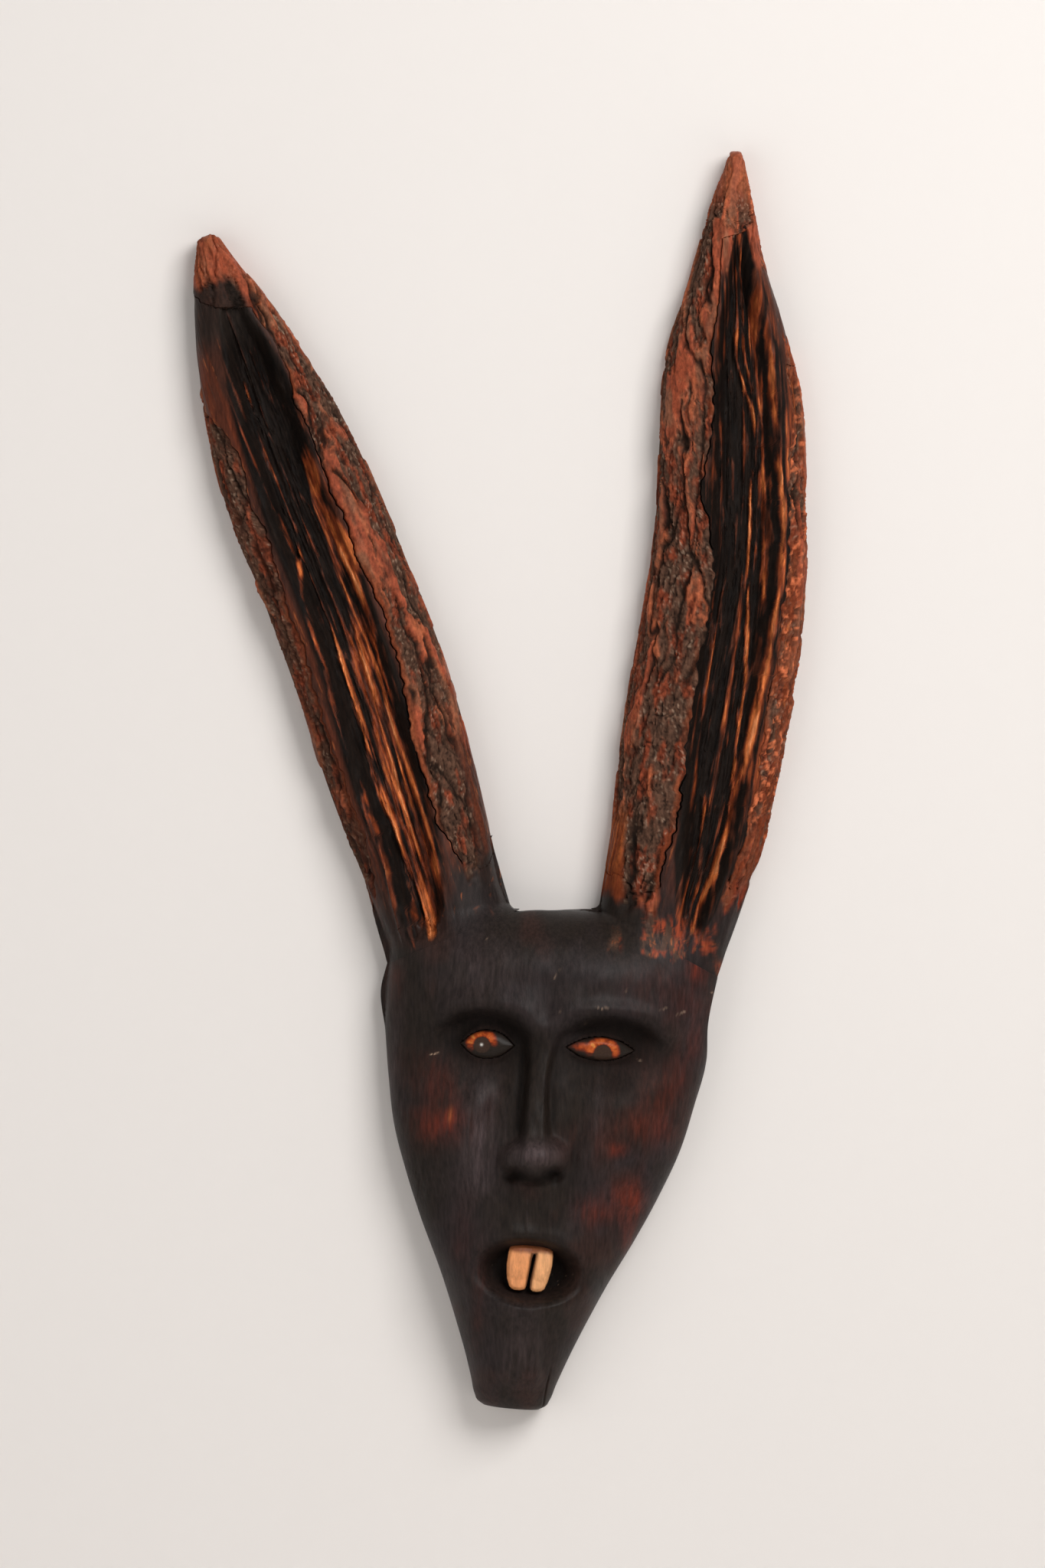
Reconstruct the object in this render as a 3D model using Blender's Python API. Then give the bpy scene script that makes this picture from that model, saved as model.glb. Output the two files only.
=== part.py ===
"""Carved wooden mask: a long wedge face between two tall ears cut from bark-covered limbs.

It hangs flat on a wall. +Z is up, the face looks along -Y, and the wall is the plane y = 0.
The origin is the point on the wall midway between the two hooks. Sizes are in millimetres.
"""

import math

import bmesh
import bpy
import numpy as np

MM = 0.001
FIT = 0.3

# Face block
HEAD_HEIGHT = 303.0
HEAD_WIDTH = 206.0
HEAD_DEPTH = 56.0
HEAD_EDGE = 15.0
HEAD_TILT = math.radians(5.5)
CROWN = (14.0, -107.0)
CROWN_ROLL = 42.0
CHIN_ROLL = 34.0
SIDE_LOW = [
    (0.0, 0.165),
    (0.0066, 0.198),
    (0.02, 0.222),
    (0.05, 0.25),
    (0.09, 0.29),
    (0.165, 0.375),
    (0.265, 0.50),
    (0.355, 0.63),
    (0.45, 0.75),
    (0.54, 0.845),
    (0.635, 0.905),
    (0.725, 0.95),
]
SIDE_LEFT = SIDE_LOW + [(0.81, 1.0), (0.86, 0.978)]
SIDE_RIGHT = SIDE_LOW + [(0.80, 0.937), (0.897, 0.966)]
CENTRE_LINE = [(0.0, 0.74), (0.16, 0.84), (0.30, 0.90), (0.50, 1.0), (0.70, 0.97), (0.84, 1.04), (1.0, 0.98)]

# Where the ears stand on the face block, as shares of its half width and height
CORNERS = {
    "left": ((-0.978, 0.86), (-0.275, 0.987)),
    "right": ((0.236, 1.008), (0.966, 0.897)),
}

# Ears: length, width and lean, and the two edges as shares of the length and width
EARS = {
    "left": {
        "length": 452.0,
        "width": 92.0,
        "lean": math.radians(-19.1),
        "settle": 50.0,
        "low_edge": [
            (0.0, -0.39),
            (0.09, -0.405),
            (0.22, -0.435),
            (0.40, -0.427),
            (0.53, -0.442),
            (0.62, -0.467),
            (0.71, -0.443),
            (0.80, -0.372),
            (0.89, -0.265),
            (0.955, -0.16),
            (1.0, -0.07),
        ],
        "high_edge": [
            (0.0, 0.44),
            (0.05, 0.43),
            (0.13, 0.487),
            (0.27, 0.55),
            (0.36, 0.568),
            (0.49, 0.548),
            (0.62, 0.507),
            (0.71, 0.457),
            (0.80, 0.362),
            (0.89, 0.238),
            (0.955, 0.125),
            (1.0, 0.06),
        ],
    },
    "right": {
        "length": 483.0,
        "width": 97.0,
        "lean": math.radians(5.6),
        "settle": 62.0,
        "low_edge": [
            (0.0, -0.388),
            (0.08, -0.367),
            (0.25, -0.347),
            (0.33, -0.327),
            (0.435, -0.288),
            (0.54, -0.272),
            (0.64, -0.296),
            (0.745, -0.294),
            (0.83, -0.206),
            (0.91, -0.135),
            (1.0, -0.035),
        ],
        "high_edge": [
            (0.0, 0.438),
            (0.08, 0.535),
            (0.165, 0.62),
            (0.29, 0.682),
            (0.415, 0.705),
            (0.50, 0.687),
            (0.60, 0.635),
            (0.705, 0.547),
            (0.79, 0.40),
            (0.87, 0.236),
            (0.95, 0.115),
            (1.0, 0.04),
        ],
    },
}
EAR_DEPTH = 38.0
EAR_EDGE = 13.0
EAR_CREST = [(0.0, 1.08), (0.2, 1.0), (0.5, 0.96), (0.8, 0.84), (0.93, 0.70), (1.0, 0.55)]
EAR_SINK = 75.0
CHANNEL_DEPTH = 13.0
CHANNEL_WIDTH = 0.60
CHANNEL_FOOT = 12.0
CHANNEL_HEAD = 40.0

# Bark left on the ears: each strip runs from its foot to its head along one edge
BARK = 3.5
BARK_BACK = 3.0
BARK_STRIPS = {
    "left_ear_bark_inner": ("left", 1, [(0.10, 0.62), (0.165, 0.30), (0.33, 0.36), (0.60, 0.44), (0.91, 0.50)], True),
    "left_ear_bark_outer": ("left", -1, [(0.12, 0.86), (0.25, 0.74), (0.55, 0.72), (0.74, 0.86)], False),
    "right_ear_bark_inner": ("right", -1, [(0.09, 0.42), (0.25, 0.24), (0.50, 0.24), (0.70, 0.36), (0.90, 0.34)], True),
    "right_ear_bark_outer": ("right", 1, [(0.10, 0.84), (0.25, 0.70), (0.55, 0.70), (0.74, 0.86)], False),
}

# Ear joints: a tenon on each ear in a mortise in the face block, held by one peg from behind
TENON_LENGTH = 34.0
TENON_WIDTH = 40.0
TENON_THICK = 16.0
TENON_BACK = 9.0
PEG_RADIUS = 4.0
PEG_LENGTH = 30.0
PEG_BACK = 0.8

# Back of the face block
HOLLOW_WIDTH = 128.0
HOLLOW_HEIGHT = 160.0
HOLLOW_DEPTH = 36.0
HOLLOW_MIDDLE = 0.515

# Features of the face: place across and up the block, then sizes
NOSE = [
    (0.768, 3.0, 6.5, -2.0),
    (0.713, 9.0, 6.5, -3.5),
    (0.613, 13.0, 6.5, -3.0),
    (0.558, 19.0, 9.0, -1.5),
    (0.518, 23.5, 17.5, -0.5),
    (0.488, 20.0, 21.0, 0.0),
    (0.458, 12.0, 16.0, 0.0),
]
NOSE_ROOT = 20.0
NOSTRIL_RADIUS = 5.5
NOSTRIL_SPREAD = 11.0
NOSTRIL_HEIGHT = 0.465
SOCKETS = {
    "left": {"at": (-0.36, 0.738), "half": (26.0, 17.0), "eye_at": (-0.347, 0.719), "eye_half": (16.3, 10.0)},
    "right": {"at": (0.365, 0.751), "half": (31.0, 16.5), "eye_at": (0.312, 0.733), "eye_half": (21.0, 8.5)},
}
SOCKET_DEPTH = 13.0
EYE_THICK = 12.0
EYE_SINK = 9.0
MOUTH_AT = (0.023, 0.281)
MOUTH_HALF = (31.0, 19.5)
MOUTH_DEPTH = 14.0
TEETH_AT = (0.025, 0.287)
TEETH_WIDTH = 27.5
TEETH_HEIGHT = 28.0
TEETH_THICK = 12.0
TEETH_PROUD = 2.0
TEETH_SLIT = 3.2
TEETH_SLIT_HEIGHT = 23.0
TEETH_TENON = (12.0, 8.0, 8.0)

# Hangers: a strap screwed in a pocket behind each ear, with a ring that swings in its fold
RING_WIRE = 1.25
RING_HALF = 10.5
RING_REACH = 17.5
RING_LEAN = math.radians(5.0)
STRAP_WIDTH = 12.0
STRAP_LENGTH = 32.0
STRAP_THICK = 1.2
BARREL_WALL = 1.2
RING_PLAY = 0.35
POCKET_DEPTH = 8.5
POCKET_MARGIN = 4.0
SCREW_RADIUS = 1.4
SCREW_HEAD_RADIUS = 3.3
SCREW_HEAD_HEIGHT = 1.8
SCREW_LENGTH = 10.0
SCREW_PLACE = 23.0

COLUMNS = 28
HEAD_ROWS = 28
EAR_COLUMNS = 16
EAR_ROWS = 22


def clear_scene():
    for thing in list(bpy.data.objects):
        bpy.data.objects.remove(thing, do_unlink=True)
    for mesh in list(bpy.data.meshes):
        bpy.data.meshes.remove(mesh)


def collection(name):
    made = bpy.data.collections.new(name)
    bpy.context.scene.collection.children.link(made)
    return made


clear_scene()
MASK = collection("carved_mask")
CUTTERS = collection("cutters")
CUTTERS.hide_render = True


def material(name, colour, rough, metal=0.0):
    made = bpy.data.materials.new(name)
    made.use_nodes = True
    shader = made.node_tree.nodes["Principled BSDF"]
    shader.inputs["Base Color"].default_value = (*colour, 1.0)
    shader.inputs["Roughness"].default_value = rough
    shader.inputs["Metallic"].default_value = metal
    made.diffuse_color = (*colour, 1.0)
    return made


def smooth_step(x):
    x = np.clip(x, 0.0, 1.0)
    return x * x * (3.0 - 2.0 * x)


def through(points, x):
    """A smooth curve through the points, read at x, level beyond its ends."""
    px = np.array([p[0] for p in points], float)
    py = np.array([p[1] for p in points], float)
    slope = np.gradient(py, px)
    x = np.clip(np.asarray(x, float), px[0], px[-1])
    k = np.clip(np.searchsorted(px, x) - 1, 0, len(px) - 2)
    step = px[k + 1] - px[k]
    f = (x - px[k]) / step
    start = py[k] * (2 * f**3 - 3 * f**2 + 1) + slope[k] * step * (f**3 - 2 * f**2 + f)
    end = py[k + 1] * (3 * f**2 - 2 * f**3) + slope[k + 1] * step * (f**3 - f**2)
    return start + end


def smooth_max(a, b, width):
    near = np.maximum(width - np.abs(a - b), 0.0) / width
    return np.maximum(a, b) + near * near * width / 4.0


def head_point(across, up):
    """World x, z of a place on the face block: across in mm from its centre line, up in mm from the chin."""
    down = HEAD_HEIGHT - np.asarray(up, float)
    across = np.asarray(across, float)
    x = CROWN[0] + across * math.cos(HEAD_TILT) - down * math.sin(HEAD_TILT)
    z = CROWN[1] - across * math.sin(HEAD_TILT) - down * math.cos(HEAD_TILT)
    return x, z


def head_place(x, z):
    """The reverse of head_point."""
    dx = x - CROWN[0]
    dz = z - CROWN[1]
    across = dx * math.cos(HEAD_TILT) - dz * math.sin(HEAD_TILT)
    up = HEAD_HEIGHT + dx * math.sin(HEAD_TILT) + dz * math.cos(HEAD_TILT)
    return across, up


def feature_point(at):
    return head_point(at[0] * HEAD_WIDTH / 2, at[1] * HEAD_HEIGHT)


def corner(side, which):
    across, up = CORNERS[side][which]
    x, z = head_point(across * HEAD_WIDTH / 2, up * HEAD_HEIGHT)
    return np.array([float(x), float(z)])


class Ear:
    """One ear's own frame: along its axis from the foot, and across it to the right."""

    def __init__(self, side):
        sizes = EARS[side]
        self.side = side
        self.length = sizes["length"]
        self.width = sizes["width"]
        self.settle = sizes["settle"]
        self.low_edge = sizes["low_edge"]
        self.high_edge = sizes["high_edge"]
        self.left_foot = corner(side, 0)
        self.right_foot = corner(side, 1)
        self.foot = (self.left_foot + self.right_foot) / 2
        self.along = np.array([math.sin(sizes["lean"]), math.cos(sizes["lean"])])
        self.across = np.array([math.cos(sizes["lean"]), -math.sin(sizes["lean"])])

    def edges(self, s):
        share = np.asarray(s, float) / self.length
        return through(self.low_edge, share) * self.width, through(self.high_edge, share) * self.width

    def point(self, s, t):
        x = self.foot[0] + s * self.along[0] + t * self.across[0]
        z = self.foot[1] + s * self.along[1] + t * self.across[1]
        return x, z

    def place(self, x, z):
        dx = x - self.foot[0]
        dz = z - self.foot[1]
        return dx * self.along[0] + dz * self.along[1], dx * self.across[0] + dz * self.across[1]

    def front(self, x, z):
        """How far the ear's front stands off the wall."""
        s, t = self.place(x, z)
        low, high = self.edges(s)
        half = (high - low) / 2
        q = (t - (high + low) / 2) / half
        crest = EAR_DEPTH * through(EAR_CREST, s / self.length)
        round_off = np.sqrt(np.maximum(1.0 - np.abs(q) ** 2.4, 0.0))
        sunk = smooth_step((s + EAR_SINK) / EAR_SINK)
        beyond = np.maximum(np.abs(q) - 1.0, 0.0) * half
        return EAR_EDGE + (crest - EAR_EDGE) * round_off * sunk - beyond * 0.6 - np.maximum(-s - EAR_SINK, 0.0) * 0.3

    def channel(self, x, z):
        """Depth of the hollow that runs up the ear's front."""
        s, t = self.place(x, z)
        low, high = self.edges(s)
        q = (t - (high + low) / 2) / ((high - low) / 2)
        window = smooth_step((s - CHANNEL_FOOT) / 28.0) * smooth_step((self.length - CHANNEL_HEAD - s) / 60.0)
        dish = np.maximum(1.0 - (q / CHANNEL_WIDTH) ** 2, 0.0) ** 1.5
        return CHANNEL_DEPTH * window * dish


LEFT = Ear("left")
RIGHT = Ear("right")


def half_width(up):
    left = through(SIDE_LEFT, up / HEAD_HEIGHT)
    right = through(SIDE_RIGHT, up / HEAD_HEIGHT)
    return (left + right) / 2 * HEAD_WIDTH / 2


def dome(x, z):
    """How far the face block's front stands off the wall, without its features."""
    across, up = head_place(x, z)
    half = half_width(up)
    q = across / half
    middle = HEAD_DEPTH * through(CENTRE_LINE, up / HEAD_HEIGHT)
    sides = np.maximum(1.0 - np.abs(q) ** 2.3, 0.0) ** 0.55
    top = np.clip((HEAD_HEIGHT * 1.003 - up) / CROWN_ROLL, 0.0, 1.0)
    low = np.clip((up + 4.0) / CHIN_ROLL, 0.0, 1.0)
    roll = np.sqrt(1.0 - (1.0 - top) ** 2) * np.sqrt(1.0 - (1.0 - low) ** 2)
    beyond = np.maximum(np.abs(across) - half, 0.0) + np.maximum(up - HEAD_HEIGHT, 0.0)
    return HEAD_EDGE + (middle - HEAD_EDGE) * sides * roll - beyond * 0.6


def front(x, z):
    """Front of the whole carving: face and ears run into each other."""
    both = smooth_max(LEFT.front(x, z), RIGHT.front(x, z), 4.0)
    whole = smooth_max(dome(x, z), both, 9.0)
    return np.maximum(whole - LEFT.channel(x, z) - RIGHT.channel(x, z), 6.0)


def finish(obj, bucket, shade=None):
    for held in list(obj.users_collection):
        held.objects.unlink(obj)
    bucket.objects.link(obj)
    if bucket is CUTTERS:
        obj.hide_render = True
        obj.display_type = "WIRE"
    if shade:
        obj.data.materials.clear()
        obj.data.materials.append(shade)
    return obj


def mesh_object(name, verts, faces, bucket, shade=None):
    mesh = bpy.data.meshes.new(name)
    mesh.from_pydata([tuple(float(c) * MM for c in v) for v in verts], [], faces)
    shape = bmesh.new()
    shape.from_mesh(mesh)
    bmesh.ops.recalc_face_normals(shape, faces=shape.faces)
    shape.to_mesh(mesh)
    shape.free()
    obj = bpy.data.objects.new(name, mesh)
    bucket.objects.link(obj)
    return finish(obj, bucket, shade)


def slab(name, x, z, depth, bucket, shade=None, back=0.0):
    """A carved board: a grid of front points over a flat back, with walls round its edge."""
    rows, columns = x.shape
    verts = [(x[j, i], -depth[j, i], z[j, i]) for j in range(rows) for i in range(columns)]
    faces = []
    for j in range(rows - 1):
        for i in range(columns - 1):
            a = j * columns + i
            faces.append((a, a + 1, a + columns + 1))
            faces.append((a, a + columns + 1, a + columns))
    ring = [i for i in range(columns)]
    ring += [j * columns + columns - 1 for j in range(1, rows)]
    ring += [(rows - 1) * columns + i for i in range(columns - 2, -1, -1)]
    ring += [j * columns for j in range(rows - 2, 0, -1)]
    base = len(verts)
    verts += [(verts[k][0], back, verts[k][2]) for k in ring]
    count = len(ring)
    for k in range(count):
        n = (k + 1) % count
        faces.append((ring[k], ring[n], base + n, base + k))
    faces.append(tuple(base + k for k in range(count)))
    return mesh_object(name, verts, faces, bucket, shade)


def prism(name, outline, y0, y1, bucket, shade=None):
    """A flat shape in x, z pushed through from y0 to y1."""
    count = len(outline)
    verts = [(p[0], y0, p[1]) for p in outline] + [(p[0], y1, p[1]) for p in outline]
    faces = [tuple(range(count)), tuple(range(2 * count - 1, count - 1, -1))]
    faces += [(k, (k + 1) % count, count + (k + 1) % count, count + k) for k in range(count)]
    return mesh_object(name, verts, faces, bucket, shade)


def ellipsoid(name, at, half, lean, bucket, shade=None, segments=24, rings=12):
    bpy.ops.mesh.primitive_uv_sphere_add(segments=segments, ring_count=rings, radius=1.0)
    obj = bpy.context.active_object
    obj.name = name
    obj.data.name = name
    turn = np.array([[math.cos(lean), math.sin(lean)], [-math.sin(lean), math.cos(lean)]])
    for vert in obj.data.vertices:
        x, y, z = vert.co
        px, pz = turn @ np.array([x * half[0], z * half[2]])
        vert.co = ((px + at[0]) * MM, (y * half[1] + at[1]) * MM, (pz + at[2]) * MM)
    return finish(obj, bucket, shade)


def rod(name, at, radius, y0, y1, bucket, shade=None, sides=20):
    """A round rod along Y."""
    outline = [
        (at[0] + radius * math.cos(2 * math.pi * k / sides), at[1] + radius * math.sin(2 * math.pi * k / sides))
        for k in range(sides)
    ]
    return prism(name, outline, y0, y1, bucket, shade)


def boolean(target, other, operation):
    step = target.modifiers.new(operation.lower() + "_" + other.name, "BOOLEAN")
    step.operation = operation
    step.solver = "EXACT"
    step.object = other


def cut(target, other):
    boolean(target, other, "DIFFERENCE")


def join(target, other):
    boolean(target, other, "UNION")


def keep_inside(target, other):
    boolean(target, other, "INTERSECT")


WOOD_DARK = material("charred_wood", (0.030, 0.026, 0.024), 0.45)
WOOD_EAR = material("scorched_wood", (0.10, 0.045, 0.025), 0.6)
BARK_BROWN = material("pine_bark", (0.22, 0.085, 0.05), 0.8)
TOOTH = material("pale_wood", (0.55, 0.25, 0.12), 0.5)
EYE = material("amber_inlay", (0.25, 0.07, 0.02), 0.2)
PEG_WOOD = material("peg_wood", (0.30, 0.18, 0.10), 0.65)
STEEL = material("zinc_steel", (0.55, 0.55, 0.53), 0.35, 1.0)
SCREW_STEEL = material("screw_steel", (0.45, 0.44, 0.42), 0.4, 1.0)


# Face block: rows from the chin up, the last one bent along the feet of the ears and the crown
def head_grid():
    across = -np.cos(np.pi * np.arange(COLUMNS + 1) / COLUMNS)
    rise = (1.0 - np.cos(np.pi * np.arange(HEAD_ROWS + 1) / HEAD_ROWS)) / 2
    rise = 0.55 * rise + 0.45 * np.arange(HEAD_ROWS + 1) / HEAD_ROWS
    left_up = rise * CORNERS["left"][0][1]
    right_up = rise * CORNERS["right"][1][1]
    lx, lz = head_point(-through(SIDE_LEFT, left_up) * HEAD_WIDTH / 2, left_up * HEAD_HEIGHT)
    rx, rz = head_point(through(SIDE_RIGHT, right_up) * HEAD_WIDTH / 2, right_up * HEAD_HEIGHT)
    share = ((across + 1) / 2)[None, :]
    x = lx[:, None] * (1 - share) + rx[:, None] * share
    z = lz[:, None] * (1 - share) + rz[:, None] * share
    break_left = round(COLUMNS * 0.41)
    break_right = COLUMNS - break_left
    spots = [LEFT.left_foot, LEFT.right_foot, RIGHT.left_foot, RIGHT.right_foot]
    marks = [across[0], across[break_left], across[break_right], across[-1]]
    top_x = np.interp(across, marks, [p[0] for p in spots])
    top_z = np.interp(across, marks, [p[1] for p in spots])
    bend = (rise**4)[:, None]
    x = x + bend * (top_x - x[-1])[None, :]
    z = z + bend * (top_z - z[-1])[None, :]
    return x, z


def ear_grid(ear, inset=0.0, lift=FIT):
    """Rows from the foot to the tip; inset shrinks the ear by that much all round."""
    q = -np.cos(np.pi * np.arange(EAR_COLUMNS + 1) / EAR_COLUMNS)
    rise = np.arange(EAR_ROWS + 1) / EAR_ROWS
    rise = rise + 0.10 * np.sin(2 * np.pi * rise) / (2 * np.pi) * -1.0
    s = rise * ear.length
    low, high = ear.edges(np.maximum(s, ear.settle))
    middle = (low + high) / 2
    half = (high - low) / 2
    inner = np.maximum(half, BARK + 1.5) - inset if inset else half
    station = np.maximum(s, ear.settle)
    tip = ear.length - inset
    full_x, full_z = ear.point(station[:, None], middle[:, None] + half[:, None] * q[None, :])
    slim = np.minimum(station, tip)[:, None]
    slim_x, slim_z = ear.point(slim, middle[:, None] + inner[:, None] * q[None, :])
    foot_share = ((q + 1) / 2)[None, :]
    width = float(np.hypot(*(ear.right_foot - ear.left_foot)))
    slim_share = foot_share * (1 - 2 * inset / width) + inset / width
    blend = np.clip(s / ear.settle, 0.0, 1.0)[:, None]

    def footed(grid_x, grid_z, share):
        fx = ear.left_foot[0] * (1 - share) + ear.right_foot[0] * share + lift * ear.along[0]
        fz = ear.left_foot[1] * (1 - share) + ear.right_foot[1] * share + lift * ear.along[1]
        return fx * (1 - blend) + grid_x * blend, fz * (1 - blend) + grid_z * blend

    full_x, full_z = footed(full_x, full_z, foot_share)
    slim_x, slim_z = footed(slim_x, slim_z, slim_share)
    return slim_x, slim_z, front(full_x, full_z) - inset


head_x, head_z = head_grid()
face_block = slab("face_block", head_x, head_z, front(head_x, head_z), MASK, WOOD_DARK)

# Nose: a loft of six-sided sections, flat along its ridge and wide at the wings
nose_verts = []
for up, proud, half, shift in NOSE:
    cx, cz = head_point(shift, up * HEAD_HEIGHT)
    base = float(front(cx, cz))
    lean_x, lean_z = math.cos(HEAD_TILT), -math.sin(HEAD_TILT)
    ridge = half * 0.45
    for t, y in (
        (-half, base - NOSE_ROOT),
        (-half, base + proud * 0.30),
        (-ridge, base + proud),
        (ridge, base + proud),
        (half, base + proud * 0.30),
        (half, base - NOSE_ROOT),
    ):
        nose_verts.append((cx + t * lean_x, -y, cz + t * lean_z))
nose_faces = []
for j in range(len(NOSE) - 1):
    for i in range(6):
        n = (i + 1) % 6
        nose_faces.append((6 * j + i, 6 * j + n, 6 * (j + 1) + n, 6 * (j + 1) + i))
nose_faces.append(tuple(range(6)))
nose_faces.append(tuple(6 * (len(NOSE) - 1) + i for i in range(6)))
join(face_block, mesh_object("cut_nose", nose_verts, nose_faces, CUTTERS))

for k, way in enumerate((-1, 1)):
    nx, nz = head_point(way * NOSTRIL_SPREAD, NOSTRIL_HEIGHT * HEAD_HEIGHT)
    ny = -float(front(nx, nz)) - 7.0
    size = (NOSTRIL_RADIUS, NOSTRIL_RADIUS, NOSTRIL_RADIUS * 1.1)
    cut(face_block, ellipsoid(f"cut_nostril_{k}", (nx, ny, nz), size, HEAD_TILT, CUTTERS, None, 12, 8))

# Eye sockets, and an inlaid eye in each
for side, place in SOCKETS.items():
    sx, sz = feature_point(place["at"])
    surface = float(front(sx, sz))
    size = (place["half"][0], SOCKET_DEPTH, place["half"][1])
    cut(face_block, ellipsoid(f"cut_socket_{side}", (sx, -surface - 1.0, sz), size, HEAD_TILT, CUTTERS))
    ex, ez = feature_point(place["eye_at"])
    middle = -surface + SOCKET_DEPTH - 1.0 + EYE_THICK / 2 - EYE_SINK + 3.0
    size = (place["eye_half"][0], EYE_THICK / 2, place["eye_half"][1])
    seat = tuple(h + FIT for h in size)
    cut(face_block, ellipsoid(f"cut_eye_seat_{side}", (ex, middle, ez), seat, HEAD_TILT, CUTTERS, None, 20, 10))
    ellipsoid(f"{side}_eye", (ex, middle, ez), size, HEAD_TILT, MASK, EYE, 20, 10)

# Mouth, and the front teeth let into its floor
mx, mz = feature_point(MOUTH_AT)
mouth_surface = float(front(mx, mz))
mouth_floor = -mouth_surface + MOUTH_DEPTH
size = (MOUTH_HALF[0], MOUTH_DEPTH, MOUTH_HALF[1])
cut(face_block, ellipsoid("cut_mouth", (mx, -mouth_surface, mz), size, HEAD_TILT, CUTTERS))
tx, tz = feature_point(TEETH_AT)


def tilted(at, points):
    c, s = math.cos(HEAD_TILT), math.sin(HEAD_TILT)
    return [(at[0] + a * c + b * s, at[1] - a * s + b * c) for a, b in points]


teeth_front = -mouth_surface + TEETH_PROUD
teeth_back = teeth_front + TEETH_THICK
w, h = TEETH_WIDTH / 2, TEETH_HEIGHT / 2
teeth_outline = [
    (-w * 0.95, h * 0.80),
    (-w * 0.80, h * 0.93),
    (0.0, h),
    (w * 0.80, h * 0.93),
    (w * 0.98, h * 0.80),
    (w, h * 0.2),
    (w * 0.90, -h * 0.5),
    (w * 0.75, -h * 0.88),
    (w * 0.55, -h),
    (-w * 0.62, -h),
    (-w * 0.82, -h * 0.85),
    (-w * 0.94, -h * 0.5),
    (-w, h * 0.1),
]
front_teeth = prism("front_teeth", tilted((tx, tz), teeth_outline), teeth_front, teeth_back, MASK, TOOTH)
half_slit = TEETH_SLIT / 2
slit_top = -h + TEETH_SLIT_HEIGHT
slit_outline = [
    (-0.4 - half_slit * 1.2, -h - 2.0),
    (-0.4 + half_slit * 1.2, -h - 2.0),
    (2.4 + half_slit * 0.8, slit_top),
    (2.4 - half_slit * 0.8, slit_top),
]
slit = prism("cut_slit", tilted((tx, tz), slit_outline), teeth_front - 3.0, teeth_back + 3.0, CUTTERS)
cut(front_teeth, slit)


def tenon_outline(grow):
    a = TEETH_TENON[0] / 2 + grow
    b = TEETH_TENON[1] / 2 + grow
    middle = h - TEETH_TENON[1] / 2 - 2.5
    return tilted((tx, tz), [(-a, middle - b), (a, middle - b), (a, middle + b), (-a, middle + b)])


tenon_tip = teeth_back + TEETH_TENON[2]
tooth_tenon = prism("cut_tooth_tenon", tenon_outline(0.0), teeth_back - 3.0, tenon_tip, CUTTERS)
join(front_teeth, tooth_tenon)
grown = [(a * (1 + FIT / w), b * (1 + FIT / h)) for a, b in teeth_outline]
cut(face_block, prism("cut_tooth_seat", tilted((tx, tz), grown), teeth_front - 20.0, teeth_back + FIT, CUTTERS))
seat = prism("cut_tooth_mortise", tenon_outline(FIT), teeth_back - 3.0, tenon_tip + FIT, CUTTERS)
cut(face_block, seat)

# Hollow in the back of the face block
hx, hz = head_point(0.0, HOLLOW_MIDDLE * HEAD_HEIGHT)
size = (HOLLOW_WIDTH / 2, HOLLOW_DEPTH, HOLLOW_HEIGHT / 2)
cut(face_block, ellipsoid("cut_hollow", (hx, 0.5, hz), size, HEAD_TILT, CUTTERS, None, 24, 14))


# Ears
def box_on(ear, s0, s1, t0, t1, y0, y1, name, bucket):
    outline = [ear.point(s, t) for s, t in ((s0, t0), (s0, t1), (s1, t1), (s1, t0))]
    return prism(name, outline, y0, y1, bucket)


def strip_outline(ear, way, inner, to_tip, grow):
    """Plan of a bark strip: up its inner side, round the tip if it has it, and back outside the edge."""
    outline = []
    first, last = inner[0][0], inner[-1][0]
    for k, (share, q) in enumerate(inner):
        s = share * ear.length
        s = s - grow if share == first else s
        low, high = ear.edges(s)
        t = (low + high) / 2 + way * (q * (high - low) / 2 - grow)
        outline.append((s, float(t)))
    beyond = []
    for share in np.linspace(first, 1.0 if to_tip else last, 9):
        low, high = ear.edges(share * ear.length)
        edge = float(high if way > 0 else low)
        beyond.append((share * ear.length, edge + way * 9.0))
    beyond[0] = (beyond[0][0] - grow, beyond[0][1])
    if to_tip:
        low, high = ear.edges(last * ear.length)
        far = float(low if way > 0 else high) - way * 9.0
        outline.append((last * ear.length + 5.0 - grow, far))
        outline.append((ear.length + 12.0, far))
        beyond.append((ear.length + 12.0, beyond[-1][1]))
    else:
        outline[-1] = (outline[-1][0] + grow, outline[-1][1])
        beyond[-1] = (beyond[-1][0] + grow, beyond[-1][1])
    outline += beyond[::-1]
    return [ear.point(s, t) for s, t in outline]


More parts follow.
